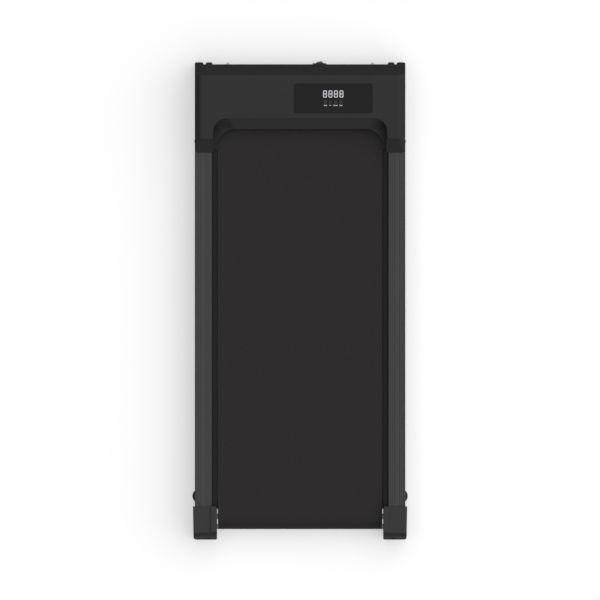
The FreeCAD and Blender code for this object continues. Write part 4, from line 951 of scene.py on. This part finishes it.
def slope_returns(material):
    """The lip over the belt, carried round and down the inside of the hood's two arms."""
    shape = bmesh.new()
    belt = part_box("walking_belt")[1]
    hood_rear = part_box("motor_hood")[0].y
    sweep_return(shape, Vector((belt.x - turn_inset, hood_rear - turn_behind, belt.z + turn_foot)))
    trim_return(shape)
    on_both_sides(shape)
    new_piece("slope_returns", shape, material, "frame")


def add_pieces(finishes):
    display_digits(finishes["digit_light"])
    display_icons(finishes["icon_print"])
    display_labels(finishes["label_print"])
    rocker_marks(finishes["rocker_print"])
    for node, size, driven, slot in (
        ("collar_screws", side_screw, from_aside, "dark_screws"),
        ("end_cap_screws", small_screw, from_below, "dark_screws"),
        ("belly_pan_screws", small_screw, from_below, "bright_steel"),
        ("foot_screws", foot_screw, from_below, "bright_steel"),
        ("deck_screws", deck_screw, from_below, "bright_steel"),
    ):
        slotted_screws(node, size, driven, finishes[slot])
    deck_edge_foam(finishes["closing_foam"])
    cap_nose_foam(finishes["closing_foam"])
    cap_lips(finishes["cap_plastic"])
    slope_returns(finishes["hood_plastic"])


def seen_directly(start):
    """1 for the camera and for what metal and glass mirror, 0 for light that falls on the pad."""
    rays = start.add("LightPath").outputs(("Is Camera Ray", "Is Glossy Ray", "Is Transmission Ray"))
    return start.maths("MINIMUM", rays[0] + rays[1] + rays[2], 1.0)


def studio_paper():
    """White, and brighter to look at than the light that it throws back on the pad."""
    material, start = start_material("floor_paper")
    paper = start.add("BsdfDiffuse", None, {"Color": floor_paper})
    bright = start.add("Emission", None, {"Color": white})
    seen = start.add("MixShader", None, {0: floor_own_light, 1: paper, 2: bright})
    bounce = start.add("BsdfDiffuse", None, {"Color": floor_bounce})
    close_material(start, start.add("MixShader", None, {0: seen_directly(start), 1: bounce, 2: seen}))
    return material


def add_floor():
    shape = bmesh.new()
    bmesh.ops.create_grid(shape, x_segments=1, y_segments=1, size=floor_half)
    floor = mesh_in_scene("floor", shape, studio_paper())


def add_sky():
    """Dim overhead, and white towards the horizon where it is looked at."""
    world = bpy.data.worlds.new("studio")
    bpy.context.scene.world = world
    world.use_nodes = True
    world.node_tree.nodes.clear()
    start = Field(world.node_tree)
    height = start.add("SeparateXYZ", None, {0: start.add("TexCoord")}, "Z")
    low = 1 - height.ease(*sky_band)
    level = sky_light + (1 - sky_light) * low * seen_directly(start)
    sky = start.add("Background", None, {"Color": white, "Strength": level})
    start.add("OutputWorld", None, {"Surface": sky})


def add_key():
    data = bpy.data.lights.new("key", "SUN")
    data.angle = key_spread
    data.energy = key_strength
    key = in_scene("key", data)
    key.location = key_place
    key.rotation_euler = (-key_place).to_track_quat("-Z", "Y").to_euler()


def add_camera():
    data = bpy.data.cameras.new("camera")
    data.type = "ORTHO"
    data.ortho_scale = view_width
    camera = in_scene("camera", data)
    camera.location = view_middle + Vector((0.0, 0.0, view_height))
    bpy.context.scene.camera = camera


finishes = build_finishes()
dress_nodes(finishes)
add_pieces(finishes)
add_floor()
add_sky()
add_key()
add_camera()
bpy.context.scene.view_settings.view_transform = "Standard"
